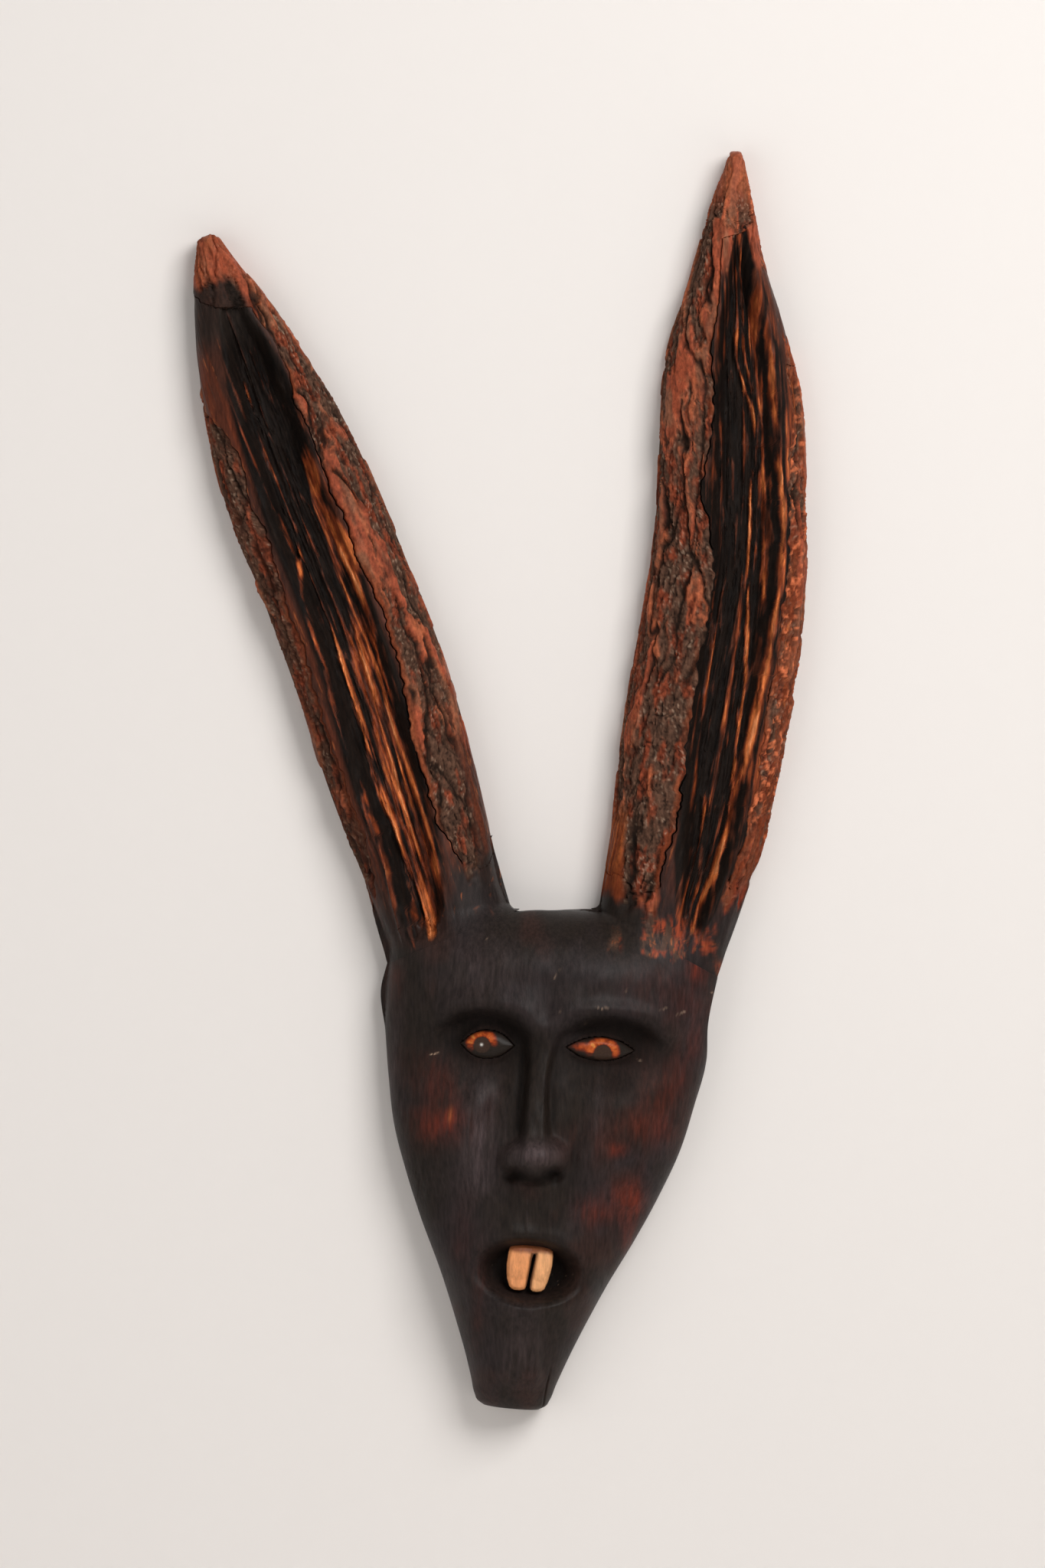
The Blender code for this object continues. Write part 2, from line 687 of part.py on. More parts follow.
for ear in (LEFT, RIGHT):
    gx, gz, gd = ear_grid(ear)
    wood = slab(f"{ear.side}_ear", gx, gz, gd, MASK, WOOD_EAR)
    for name, (side, way, inner, to_tip) in BARK_STRIPS.items():
        if side != ear.side:
            continue
        core_x, core_z, core_d = ear_grid(ear, BARK + FIT)
        core = slab(f"cut_core_{name}", core_x, core_z, core_d, CUTTERS, None, 2.0)
        plan = strip_outline(ear, way, inner, to_tip, FIT)
        shell = prism(f"cut_shell_{name}", plan, -EAR_DEPTH - 30.0, -BARK_BACK + FIT, CUTTERS)
        cut(shell, core)
        cut(wood, shell)
        bark = slab(name, gx, gz, gd, MASK, BARK_BROWN)
        core_x, core_z, core_d = ear_grid(ear, BARK)
        inside = slab(f"cut_inside_{name}", core_x, core_z, core_d, CUTTERS, None, 2.0)
        plan = strip_outline(ear, way, inner, to_tip, 0.0)
        keep_inside(bark, prism(f"cut_plan_{name}", plan, -EAR_DEPTH - 30.0, -BARK_BACK, CUTTERS))
        cut(bark, inside)

    # Tenon, its mortise and the peg through both
    half = TENON_WIDTH / 2
    y_front, y_back = -TENON_BACK - TENON_THICK, -TENON_BACK
    tenon = box_on(ear, -TENON_LENGTH, 24.0, -half, half, y_front, y_back, f"cut_tenon_{ear.side}", CUTTERS)
    join(wood, tenon)
    mortise = box_on(
        ear,
        -TENON_LENGTH - FIT,
        30.0,
        -half - FIT,
        half + FIT,
        y_front - FIT,
        y_back + FIT,
        f"cut_mortise_{ear.side}",
        CUTTERS,
    )
    cut(face_block, mortise)
    spot = ear.point(-TENON_LENGTH * 0.55, 0.0)
    peg_hole = rod(f"cut_peg_{ear.side}", spot, PEG_RADIUS + FIT, -PEG_BACK - PEG_LENGTH - FIT, 1.0, CUTTERS)
    cut(face_block, peg_hole)
    cut(wood, peg_hole)
    rod(f"{ear.side}_ear_peg", spot, PEG_RADIUS, -PEG_BACK - PEG_LENGTH, -PEG_BACK, MASK, PEG_WOOD)

    # Hanger: the hook meets the ring's top at the height of the origin
    hook_s = -ear.foot[1] / ear.along[1]
    low, high = ear.edges(hook_s)
    hook_x, _ = ear.point(hook_s, float(low + high) / 4)
    barrel_radius = RING_WIRE + RING_PLAY + BARREL_WALL
    pin_y = -POCKET_DEPTH + FIT + barrel_radius
    pin_z = -(RING_REACH - RING_WIRE) * math.cos(RING_LEAN)
    floor_y = -POCKET_DEPTH
    half = RING_HALF + RING_WIRE + POCKET_MARGIN
    top = pin_z + RING_REACH + RING_WIRE + POCKET_MARGIN
    bottom = pin_z - STRAP_LENGTH - POCKET_MARGIN
    pocket = [(hook_x - half, bottom), (hook_x + half, bottom), (hook_x + half, top), (hook_x - half, top)]
    cut(wood, prism(f"cut_pocket_{ear.side}", pocket, floor_y, 2.0, CUTTERS))

    half = STRAP_WIDTH / 2
    plate = [
        (hook_x - half, pin_z - STRAP_LENGTH + half * 0.5),
        (hook_x - half * 0.5, pin_z - STRAP_LENGTH),
        (hook_x + half * 0.5, pin_z - STRAP_LENGTH),
        (hook_x + half, pin_z - STRAP_LENGTH + half * 0.5),
        (hook_x + half, pin_z),
        (hook_x - half, pin_z),
    ]
    strap_y = floor_y + FIT
    strap = prism(f"{ear.side}_hanger_strap", plate, strap_y, strap_y + STRAP_THICK, MASK, STEEL)
    for label, radius, reach, act in (
        ("barrel", barrel_radius, half, join),
        ("barrel_bore", RING_WIRE + RING_PLAY, half + 2.0, cut),
    ):
        bpy.ops.mesh.primitive_cylinder_add(vertices=24, radius=radius * MM, depth=2 * reach * MM)
        drum = bpy.context.active_object
        drum.name = f"cut_{label}_{ear.side}"
        drum.rotation_euler = (0.0, math.pi / 2, 0.0)
        drum.location = (hook_x * MM, pin_y * MM, pin_z * MM)
        finish(drum, CUTTERS)
        act(strap, drum)
    screw_z = pin_z - SCREW_PLACE
    screw_hole = rod(
        f"cut_screw_{ear.side}",
        (hook_x, screw_z),
        SCREW_RADIUS + FIT,
        strap_y - SCREW_LENGTH - FIT,
        3.0,
        CUTTERS,
        None,
        16,
    )
    cut(strap, screw_hole)
    cut(wood, screw_hole)
    head_y = strap_y + STRAP_THICK + FIT
    screw = rod(
        f"{ear.side}_hanger_screw",
        (hook_x, screw_z),
        SCREW_HEAD_RADIUS,
        head_y,
        head_y + SCREW_HEAD_HEIGHT,
        MASK,
        SCREW_STEEL,
    )
    shank = rod(
        f"cut_shank_{ear.side}",
        (hook_x, screw_z),
        SCREW_RADIUS,
        strap_y - SCREW_LENGTH,
        head_y + SCREW_HEAD_HEIGHT / 2,
        CUTTERS,
        None,
        16,
    )
    join(screw, shank)
    slot_half = (SCREW_HEAD_RADIUS + 1.0, 0.5)
    slot_plan = [
        (hook_x - slot_half[0], screw_z - slot_half[1]),
        (hook_x + slot_half[0], screw_z - slot_half[1]),
        (hook_x + slot_half[0], screw_z + slot_half[1]),
        (hook_x - slot_half[0], screw_z + slot_half[1]),
    ]
    slot_y = head_y + SCREW_HEAD_HEIGHT
    cut(screw, prism(f"cut_screw_slot_{ear.side}", slot_plan, slot_y - 0.8, slot_y + 1.0, CUTTERS))

    # Ring: a straight bar in the strap's fold and an arch above it, leaning back on the wood
    path = [(-RING_HALF + 2.0, 0.0), (RING_HALF - 2.0, 0.0)]
    path += [(RING_HALF - 0.6, 0.6), (RING_HALF, 2.0)]
    arch = RING_REACH - RING_HALF
    for k in range(0, 13):
        turn = math.pi * k / 12
        path.append((RING_HALF * math.cos(turn), arch + RING_HALF * math.sin(turn)))
    path += [(-RING_HALF, 2.0), (-RING_HALF + 0.6, 0.6)]
    loop = bpy.data.curves.new(f"{ear.side}_hanger_ring", "CURVE")
    loop.dimensions = "3D"
    loop.bevel_depth = RING_WIRE * MM
    loop.bevel_resolution = 2
    line = loop.splines.new("POLY")
    line.points.add(len(path) - 1)
    line.use_cyclic_u = True
    for spot, (px, pz) in zip(line.points, path):
        py = -pz * math.sin(RING_LEAN)
        spot.co = (px * MM, py * MM, pz * math.cos(RING_LEAN) * MM, 1.0)
    ring = bpy.data.objects.new(f"{ear.side}_hanger_ring", loop)
    ring.location = (hook_x * MM, pin_y * MM, pin_z * MM)
    MASK.objects.link(ring)
    loop.materials.append(STEEL)
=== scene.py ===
"""Looks of the carved wooden mask: charred face block, gouged ears and their bark, in millimetres.

The surface is built from the same outlines and depths as the solids, with the carving added to it.
"""

import math

import bmesh
import bpy
import numpy as np
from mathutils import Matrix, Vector
from mathutils.geometry import delaunay_2d_cdt


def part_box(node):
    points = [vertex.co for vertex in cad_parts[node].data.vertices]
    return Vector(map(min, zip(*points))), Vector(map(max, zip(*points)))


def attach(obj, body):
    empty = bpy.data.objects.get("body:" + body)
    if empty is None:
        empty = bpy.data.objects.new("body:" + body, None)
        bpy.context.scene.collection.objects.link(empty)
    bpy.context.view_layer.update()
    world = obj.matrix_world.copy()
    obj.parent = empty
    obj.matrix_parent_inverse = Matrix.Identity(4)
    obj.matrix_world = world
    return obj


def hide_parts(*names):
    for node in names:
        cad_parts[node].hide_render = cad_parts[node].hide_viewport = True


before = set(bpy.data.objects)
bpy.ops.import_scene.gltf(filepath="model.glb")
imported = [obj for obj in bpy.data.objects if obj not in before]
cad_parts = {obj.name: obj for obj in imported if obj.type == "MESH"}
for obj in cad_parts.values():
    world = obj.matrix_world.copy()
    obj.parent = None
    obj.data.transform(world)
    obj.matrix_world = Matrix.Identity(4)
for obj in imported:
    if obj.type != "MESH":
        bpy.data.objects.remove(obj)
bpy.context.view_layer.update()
MM = 0.001

# Plain shape of the mask, as in its solids
HEAD_HEIGHT = 303.0
HEAD_WIDTH = 206.0
HEAD_DEPTH = 56.0
HEAD_EDGE = 15.0
HEAD_TILT = math.radians(5.5)
CROWN = (14.0, -107.0)
CROWN_ROLL = 42.0
CHIN_ROLL = 34.0
SIDE_LOW = [
    (0.0, 0.165), (0.0066, 0.198), (0.02, 0.222), (0.05, 0.25), (0.09, 0.29), (0.165, 0.375), (0.265, 0.50),
    (0.355, 0.63), (0.45, 0.75), (0.54, 0.845), (0.635, 0.905), (0.725, 0.95),
]
SIDE_LEFT = SIDE_LOW + [(0.81, 1.0), (0.86, 0.978)]
SIDE_RIGHT = SIDE_LOW + [(0.80, 0.937), (0.897, 0.966)]
CENTRE_LINE = [(0.0, 0.74), (0.16, 0.84), (0.30, 0.90), (0.50, 1.0), (0.70, 0.97), (0.84, 1.04), (1.0, 0.98)]
CORNERS = {
    "left": ((-0.978, 0.86), (-0.275, 0.987)),
    "right": ((0.236, 1.008), (0.966, 0.897)),
}
EARS = {
    "left": {
        "length": 452.0, "width": 92.0, "lean": math.radians(-19.1), "settle": 50.0,
        "low_edge": [
            (0.0, -0.39), (0.09, -0.405), (0.22, -0.435), (0.40, -0.427), (0.53, -0.442), (0.62, -0.467),
            (0.71, -0.443), (0.80, -0.372), (0.89, -0.265), (0.955, -0.16), (1.0, -0.07),
        ],
        "high_edge": [
            (0.0, 0.44), (0.05, 0.43), (0.13, 0.487), (0.27, 0.55), (0.36, 0.568), (0.49, 0.548),
            (0.62, 0.507), (0.71, 0.457), (0.80, 0.362), (0.89, 0.238), (0.955, 0.125), (1.0, 0.06),
        ],
    },
    "right": {
        "length": 483.0, "width": 97.0, "lean": math.radians(5.6), "settle": 62.0,
        "low_edge": [
            (0.0, -0.388), (0.08, -0.367), (0.25, -0.347), (0.33, -0.327), (0.435, -0.288), (0.54, -0.272),
            (0.64, -0.296), (0.745, -0.294), (0.83, -0.206), (0.91, -0.135), (1.0, -0.035),
        ],
        "high_edge": [
            (0.0, 0.438), (0.08, 0.535), (0.165, 0.62), (0.29, 0.682), (0.415, 0.705), (0.50, 0.687),
            (0.60, 0.635), (0.705, 0.547), (0.79, 0.40), (0.87, 0.236), (0.95, 0.115), (1.0, 0.04),
        ],
    },
}
EAR_DEPTH = 38.0
EAR_EDGE = 13.0
EAR_CREST = [(0.0, 1.08), (0.2, 1.0), (0.5, 0.96), (0.8, 0.84), (0.93, 0.70), (1.0, 0.55)]
EAR_SINK = 75.0
EAR_TIP = 6.0
CORNER_FILLET = 6.0

# Bark's thickness, its stand-off from the wall plane and from the wood, and p's reach down the sides
BARK = 3.5
BARK_BACK = 3.0
BARK_GAP = 0.5
WALL = 0.34

# The back: wood clear of the wall plane, hollow, dowel holes, hanger pockets and the rings they hold
BACK_GAP = 0.35
HOLLOW_HALF = (64.0, 80.0)
HOLLOW_DEPTH = 35.2
HOLLOW_MIDDLE = 0.515
HOLLOW_RINGS = 34
HOLLOW_SIDES = 128
TENON_LENGTH = 34.0
PEG_HOLE_RADIUS = 4.3
PEG_HOLE_DEPTH = 31.0
RING_WIRE = 1.25
RING_HALF = 10.5
RING_REACH = 17.5
RING_LEAN = math.radians(5.0)
POCKET_DEPTH = 8.5
POCKET_MARGIN = 4.0
POCKET_DOWN = 36.0
BACK_STEP = 3.6


def smooth_step(x):
    x = np.clip(x, 0.0, 1.0)
    return x * x * (3.0 - 2.0 * x)


def rise(x, start, width):
    """0 up to the start, 1 from a width beyond it."""
    return smooth_step((x - start) / width)


def fall(x, end, width):
    """1 down to a width before the end, 0 from the end on."""
    return smooth_step((end - x) / width)


def through(points, x):
    """A smooth curve through the points, read at x, level beyond its ends."""
    px = np.array([p[0] for p in points], float)
    py = np.array([p[1] for p in points], float)
    slope = np.gradient(py, px)
    x = np.clip(np.asarray(x, float), px[0], px[-1])
    k = np.clip(np.searchsorted(px, x) - 1, 0, len(px) - 2)
    step = px[k + 1] - px[k]
    f = (x - px[k]) / step
    start = py[k] * (2 * f**3 - 3 * f**2 + 1) + slope[k] * step * (f**3 - 2 * f**2 + f)
    end = py[k + 1] * (3 * f**2 - 2 * f**3) + slope[k + 1] * step * (f**3 - f**2)
    return start + end


def smooth_max(a, b, width):
    near = np.maximum(width - np.abs(a - b), 0.0) / width
    return np.maximum(a, b) + near * near * width / 4.0


def bell(x, width):
    return np.exp(-((x / width) ** 2))


def blot(u, v):
    """A soft round spot, 1 in its middle."""
    return np.exp(-(u**2 + v**2))


def mix(a, b, share):
    return a + (b - a) * share


# Noise, all of it fixed by its seed
def hashed(i, j, seed):
    n = (i * 374761393 + j * 668265263 + seed * 974634777) & 0xFFFFFFFF
    n = ((n ^ (n >> 13)) * 1274126177) & 0xFFFFFFFF
    return (n ^ (n >> 16)) / 4294967295.0


def noise(x, y, seed):
    """Smooth noise between -1 and 1, one bump to a unit."""
    i = np.floor(x).astype(np.int64)
    j = np.floor(y).astype(np.int64)
    fx = x - i
    fy = y - j
    ux = fx**3 * (fx * (fx * 6 - 15) + 10)
    uy = fy**3 * (fy * (fy * 6 - 15) + 10)
    low = mix(hashed(i, j, seed), hashed(i + 1, j, seed), ux)
    high = mix(hashed(i, j + 1, seed), hashed(i + 1, j + 1, seed), ux)
    return mix(low, high, uy) * 2 - 1


def wobble(x, seed):
    """Noise along one line."""
    return noise(x, x * 0, seed)


def clouds(x, y, seed, octaves=3):
    total = np.zeros(np.broadcast(x, y).shape)
    scale, weight, whole = 1.0, 1.0, 0.0
    for k in range(octaves):
        total = total + weight * noise(x * scale + 17.3 * k, y * scale - 9.1 * k, seed + 101 * k)
        whole += weight
        scale *= 2.03
        weight *= 0.55
    return total / whole * 1.35


def ridged(x, y, seed, octaves=3):
    """Sharp ridges, 0 to 1."""
    total = np.zeros(np.broadcast(x, y).shape)
    scale, weight, whole = 1.0, 1.0, 0.0
    for k in range(octaves):
        total = (
            total + weight * (1 - np.abs(noise(x * scale + 5.7 * k, y * scale + 3.1 * k, seed + 57 * k))) ** 3
        )
        whole += weight
        scale *= 2.1
        weight *= 0.55
    return total / whole


def cells(x, y, long, wide, seed):
    """Irregular cells: mm to the nearest border, a random share each, and how lengthwise that border runs."""
    u, v = x / long, y / wide
    i = np.floor(u).astype(np.int64)
    j = np.floor(v).astype(np.int64)
    first = [np.full(u.shape, 9.0), np.zeros(u.shape), np.zeros(u.shape)]
    second = [np.full(u.shape, 9.0), np.ones(u.shape), np.ones(u.shape)]
    who = np.zeros(u.shape)
    for di in (-1, 0, 1):
        for dj in (-1, 0, 1):
            du = i + di + 0.1 + 0.8 * hashed(i + di, j + dj, seed) - u
            dv = j + dj + 0.1 + 0.8 * hashed(i + di, j + dj, seed + 7) - v
            spot = [np.hypot(du, dv), du, dv]
            closer = spot[0] < first[0]
            next_best = ~closer & (spot[0] < second[0])
            second = [np.where(closer, f, np.where(next_best, n, o)) for f, n, o in zip(first, spot, second)]
            who = np.where(closer, hashed(i + di, j + dj, seed + 13), who)
            first = [np.where(closer, n, f) for n, f in zip(spot, first)]
    slope_x = (second[1] - first[1]) / long
    slope_y = (second[2] - first[2]) / wide
    slope = np.maximum(np.hypot(slope_x, slope_y), 1e-6)
    return (second[0] ** 2 - first[0] ** 2) / 2 / slope, who, np.abs(slope_y) / slope


# Places on the face block and the ears
def head_point(across, up):
    down = HEAD_HEIGHT - np.asarray(up, float)
    across = np.asarray(across, float)
    x = CROWN[0] + across * math.cos(HEAD_TILT) - down * math.sin(HEAD_TILT)
    z = CROWN[1] - across * math.sin(HEAD_TILT) - down * math.cos(HEAD_TILT)
    return x, z


def head_place(x, z):
    dx = x - CROWN[0]
    dz = z - CROWN[1]
    across = dx * math.cos(HEAD_TILT) - dz * math.sin(HEAD_TILT)
    up = HEAD_HEIGHT + dx * math.sin(HEAD_TILT) + dz * math.cos(HEAD_TILT)
    return across, up


def corner(side, which):
    across, up = CORNERS[side][which]
    x, z = head_point(across * HEAD_WIDTH / 2, up * HEAD_HEIGHT)
    return np.array([float(x), float(z)])


class Ear:
    """One ear's own frame: along its axis from the foot, and across it to the right."""

    def __init__(self, side):
        sizes = EARS[side]
        self.side = side
        self.length = sizes["length"]
        self.width = sizes["width"]
        self.settle = sizes["settle"]
        self.low_edge = sizes["low_edge"]
        self.high_edge = sizes["high_edge"]
        self.left_foot = corner(side, 0)
        self.right_foot = corner(side, 1)
        self.foot = (self.left_foot + self.right_foot) / 2
        self.along = np.array([math.sin(sizes["lean"]), math.cos(sizes["lean"])])
        self.across = np.array([math.cos(sizes["lean"]), -math.sin(sizes["lean"])])
        self.inward = 1 if side == "left" else -1

    def edges(self, s):
        share = np.asarray(s, float) / self.length
        return through(self.low_edge, share) * self.width, through(self.high_edge, share) * self.width

    def point(self, s, t):
        x = self.foot[0] + s * self.along[0] + t * self.across[0]
        z = self.foot[1] + s * self.along[1] + t * self.across[1]
        return x, z

    def place(self, x, z):
        dx = x - self.foot[0]
        dz = z - self.foot[1]
        return dx * self.along[0] + dz * self.along[1], dx * self.across[0] + dz * self.across[1]

    def share_across(self, s, t):
        low, high = self.edges(s)
        return (t - (high + low) / 2) / ((high - low) / 2)

    def front(self, x, z):
        s, t = self.place(x, z)
        low, high = self.edges(s)
        half = (high - low) / 2
        q = (t - (high + low) / 2) / half
        crest = EAR_DEPTH * through(EAR_CREST, s / self.length)
        round_off = np.sqrt(np.maximum(1.0 - np.abs(q) ** 2.4, 0.0))
        sunk = smooth_step((s + EAR_SINK) / EAR_SINK)
        beyond = np.maximum(np.abs(q) - 1.0, 0.0) * half
        return (
            EAR_EDGE + (crest - EAR_EDGE) * round_off * sunk - beyond * 0.6
            - np.maximum(-s - EAR_SINK, 0.0) * 0.3
        )

    def plan(self, s, q):
        """World x, z of the ear's outline grid; its first row lies along the joint with the face block."""
        station = np.maximum(s, self.settle)
        low, high = self.edges(station)
        shrink = self.tip_share(s)
        grid_x, grid_z = self.point(
            np.minimum(station, self.length), (low + high) / 2 + (high - low) / 2 * q * shrink,
        )
        share = (q + 1) / 2
        blend = np.clip(s / self.settle, 0.0, 1.0)
        x = (self.left_foot[0] * (1 - share) + self.right_foot[0] * share) * (1 - blend) + grid_x * blend
        z = (self.left_foot[1] * (1 - share) + self.right_foot[1] * share) * (1 - blend) + grid_z * blend
        low_down = np.clip(1 - s / CORNER_FILLET, 0.0, 1.0)
        flare = CORNER_FILLET * (1 - np.sqrt(np.maximum(1 - low_down**2, 0.0))) * 0.8
        flare = flare * smooth_step((q * self.inward - 0.8) / 0.2) * self.inward
        return x + flare * self.across[0], z + flare * self.across[1]

    def tip_share(self, s):
        u = np.clip((s - self.length + EAR_TIP) / EAR_TIP, 0.0, 1.0)
        return np.sqrt(np.maximum(1 - u**3, 0.0))

    def skin(self, s, p, back):
        """Plain surface: s along, p across; beyond 1 and -1, p runs down the sides to the depth back."""
        q = np.sin(np.clip(p, -1, 1) * np.pi / 2)
        x, z = self.plan(s, q)
        depth = np.maximum(plain_front(x, z), 6.0)
        depth = back + (depth - back) * self.tip_share(s)
        down = np.clip((np.abs(p) - 1) / WALL, 0, 1)
        return np.stack([x, -(depth * (1 - down) + back * down), z], -1)


LEFT = Ear("left")
RIGHT = Ear("right")


def half_width(up):
    left = through(SIDE_LEFT, up / HEAD_HEIGHT)
    right = through(SIDE_RIGHT, up / HEAD_HEIGHT)
    return (left + right) / 2 * HEAD_WIDTH / 2


def dome(x, z):
    across, up = head_place(x, z)
    half = half_width(up)
    q = across / half
    middle = HEAD_DEPTH * through(CENTRE_LINE, up / HEAD_HEIGHT)
    sides = np.maximum(1.0 - np.abs(q) ** 2.3, 0.0) ** 0.55
    top = np.clip((HEAD_HEIGHT * 1.003 - up) / CROWN_ROLL, 0.0, 1.0)
    low = np.clip((up + 4.0) / CHIN_ROLL, 0.0, 1.0)
    roll = np.sqrt(1.0 - (1.0 - top) ** 2) * np.sqrt(1.0 - (1.0 - low) ** 2)
    beyond = np.maximum(np.abs(across) - half, 0.0) + np.maximum(up - HEAD_HEIGHT, 0.0)
    return HEAD_EDGE + (middle - HEAD_EDGE) * sides * roll - beyond * 0.6


def plain_front(x, z):
    both = smooth_max(LEFT.front(x, z), RIGHT.front(x, z), 4.0)
    return smooth_max(dome(x, z), both, 9.0)


# Paint, as linear colour
def colour(r, g, b):
    return np.array([r, g, b], float)


CHAR = colour(0.0160, 0.0108, 0.0082)
CHAR_WARM = colour(0.031, 0.0140, 0.0105)
# The char's cooler tone, also the colour of the painted sheen and highlight on the face
CHAR_COOL = colour(0.0228, 0.0160, 0.0162)
EMBER = colour(0.20, 0.026, 0.010)
TROUGH = colour(0.0072, 0.0038, 0.0024)
WALNUT = colour(0.053, 0.0150, 0.0073)
RUST = colour(0.185, 0.036, 0.011)
ORANGE = colour(0.50, 0.13, 0.035)
TAN = colour(0.80, 0.30, 0.12)
PLATE_RED = colour(0.290, 0.062, 0.027)
PLATE_ORANGE = colour(0.395, 0.104, 0.042)
PLATE_BROWN = colour(0.185, 0.080, 0.043)
CRUMB = colour(0.098, 0.048, 0.030)
SPECK = colour(0.34, 0.23, 0.16)
RAW_RED = colour(0.27, 0.046, 0.017)
BARE = colour(0.33, 0.19, 0.105)
BARE_DARK = colour(0.17, 0.09, 0.05)


def tint(base, other, share):
    return base + (other - base) * np.clip(share, 0.0, 1.0)[..., None]


def laid(base, other, share):
    """One paint laid over another, by a share at each point."""
    return base + (other - base) * share[..., None]


def flat_paint(shape, shade):
    return np.broadcast_to(shade, tuple(shape) + (3,)).copy()


def char_look(x, z):
    """Charred wood in world x, z: how far it stands proud, its paint and its roughness."""
    height = 0.22 * clouds(x / 26, z / 34, 3) + 0.05 * clouds(x / 2.4, z / 13, 8)
    paint = flat_paint(x.shape, CHAR)
    paint = tint(paint, CHAR_COOL, smooth_step(clouds(x / 42, z / 55, 21) * 0.9 + 0.35) * 0.9)
    paint = tint(paint, CHAR_WARM, smooth_step(clouds(x / 30, z / 40, 33) * 1.4 - 0.1) * 0.8)
    streak = smooth_step(clouds(x / 1.3, z / 26, 47) * 2.0 - 1.2)
    paint = tint(paint, CHAR_COOL * 1.7, streak * 0.35)
    rough = 0.47 + 0.06 * clouds(x / 9, z / 16, 5)
    return height, paint, rough


# Red glow where the char is rubbed thin: place across and up the block, half sizes and strength
GLOWS = [
    (-53.0, 171.0, 3.2, 7.0, 1.0), (-50.0, 166.0, 9.0, 8.0, 0.45), (-64.0, 163.0, 11.0, 10.0, 0.42),
    (-60.0, 185.0, 10.0, 16.0, 0.24), (-72.0, 196.0, 14.0, 12.0, 0.12), (72.0, 191.0, 14.0, 22.0, 0.25),
    (62.0, 175.0, 18.0, 9.0, 0.26), (80.0, 208.0, 8.0, 14.0, 0.22), (88.0, 226.0, 7.0, 8.0, 0.2),
    (48.0, 160.5, 6.5, 4.5, 0.62), (37.0, 165.0, 4.5, 12.0, 0.12), (20.0, 163.0, 7.0, 8.0, 0.12),
    (57.8, 134.0, 9.5, 8.5, 0.62), (60.0, 126.0, 7.0, 12.0, 0.5), (39.5, 121.0, 10.0, 8.0, 0.42),
    (61.0, 108.0, 4.5, 13.0, 0.42), (88.0, 250.0, 14.0, 14.0, 0.18), (60.0, 262.0, 20.0, 14.0, 0.12),
    (-95.0, 247.0, 5.0, 14.0, 0.2), (-26.0, 60.0, 4.0, 34.0, 0.10), (-40.0, 98.0, 6.0, 26.0, 0.08),
    (86.0, 276.0, 5.0, 9.0, 0.9), (-30.0, 178.0, 5.0, 14.0, 0.08), (42.0, 205.0, 5.0, 14.0, 0.05),
]
# Pale scratches: place across and up, length, slope and strength
SCRATCHES = [
    (-66.5, 208.0, 6.5, 0.25, 0.8), (6.0, 242.0, 2.2, 0.5, 0.9), (31.0, 246.0, 9.0, 0.02, 0.6),
    (79.0, 247.0, 7.0, 0.42, 0.7), (68.0, 249.0, 6.0, 0.3, 0.5), (97.0, 261.0, 3.0, -0.7, 0.6),
    (1.0, 262.0, 5.0, 1.3, 0.35), (3.0, 266.0, 4.0, 0.9, 0.35), (57.0, 216.0, 4.0, -0.6, 0.5),
    (44.0, 257.0, 5.0, 1.6, 0.25), (-42.0, 281.0, 4.0, 0.8, 0.25), (22.0, 236.0, 3.0, 0.1, 0.3),
]
NOSE_RISE = [
    (118, 0.0), (128, 0.4), (133, 2.5), (138, 11.0), (143, 19.0), (150, 22.5), (156, 21.5), (164, 17.0),
    (178, 13.5), (196, 11.5), (212, 9.5), (226, 6.5), (240, 2.6), (256, 0.0),
]
NOSE_CORE = [(118, 7.0), (138, 7.0), (152, 6.0), (163, 4.6), (180, 4.2), (212, 4.6), (230, 7.0), (256, 12.0)]
NOSE_FLANK = [
    (118, 8.0), (136, 8.0), (148, 8.5), (158, 7.5), (168, 6.0), (212, 6.0), (230, 11.0), (256, 20.0),
]
NOSE_MIDDLE = [(118, 1.0), (150, -0.5), (170, -2.0), (212, -3.4), (256, -2.0)]
NOSE_TURN = 0.09
FOLD_LEFT = [(118, -16.0), (124, -21.0), (134, -27.5), (150, -32.5), (165, -33.0), (178, -31.0), (190, -28.0)]
FOLD_RIGHT = [(118, 20.0), (126, 24.0), (138, 27.0), (152, 29.0), (166, 28.0), (180, 25.0)]
# Eyes: socket and inlay (place, half sizes), iris (middle, reach, pupil) and the way its lit part faces
EYES = {
    "left": {
        "at": (-37.1, 224.0), "half": (31.0, 19.0), "eye_at": (-35.4, 218.8), "eye_half": (16.3, 8.5),
        "iris": (-38.6, 218.4), "reach": 11.2, "pupil": 4.4, "lit": (-0.30, 0.92),
    },
    "right": {
        "at": (39.6, 227.5), "half": (34.0, 18.5), "eye_at": (32.6, 222.7), "eye_half": (20.6, 7.0),
        "iris": (34.2, 220.0), "reach": 11.8, "pupil": 5.0, "lit": (0.0, 1.0),
    },
}
SOCKET_DEPTH = 9.0
EYE_BULGE = 5.5
EYE_SEAT = 3.2
MOUTH = (2.6, 81.8, 31.5, 19.0)
MOUTH_DEPTH = 14.0


def almond(a, b, eye):
    """Below 1 inside the eye's outline."""
    u = (a - eye["eye_at"][0]) / eye["eye_half"][0]
    v = (b - eye["eye_at"][1]) / eye["eye_half"][1]
    lift = 0.10 * u
    arch = np.maximum(1 - np.abs(u) ** 2.1, 0.0) ** 0.9 + 1e-3
    return np.sqrt(np.abs(u) ** 4 + ((v - lift) / (0.12 + 0.88 * arch)) ** 2)


def carved_up(b):
    """Height by which the face's carving is set out, drawn out a little towards the chin."""
    return b - 1.0 - 0.0125 * (HEAD_HEIGHT - b)


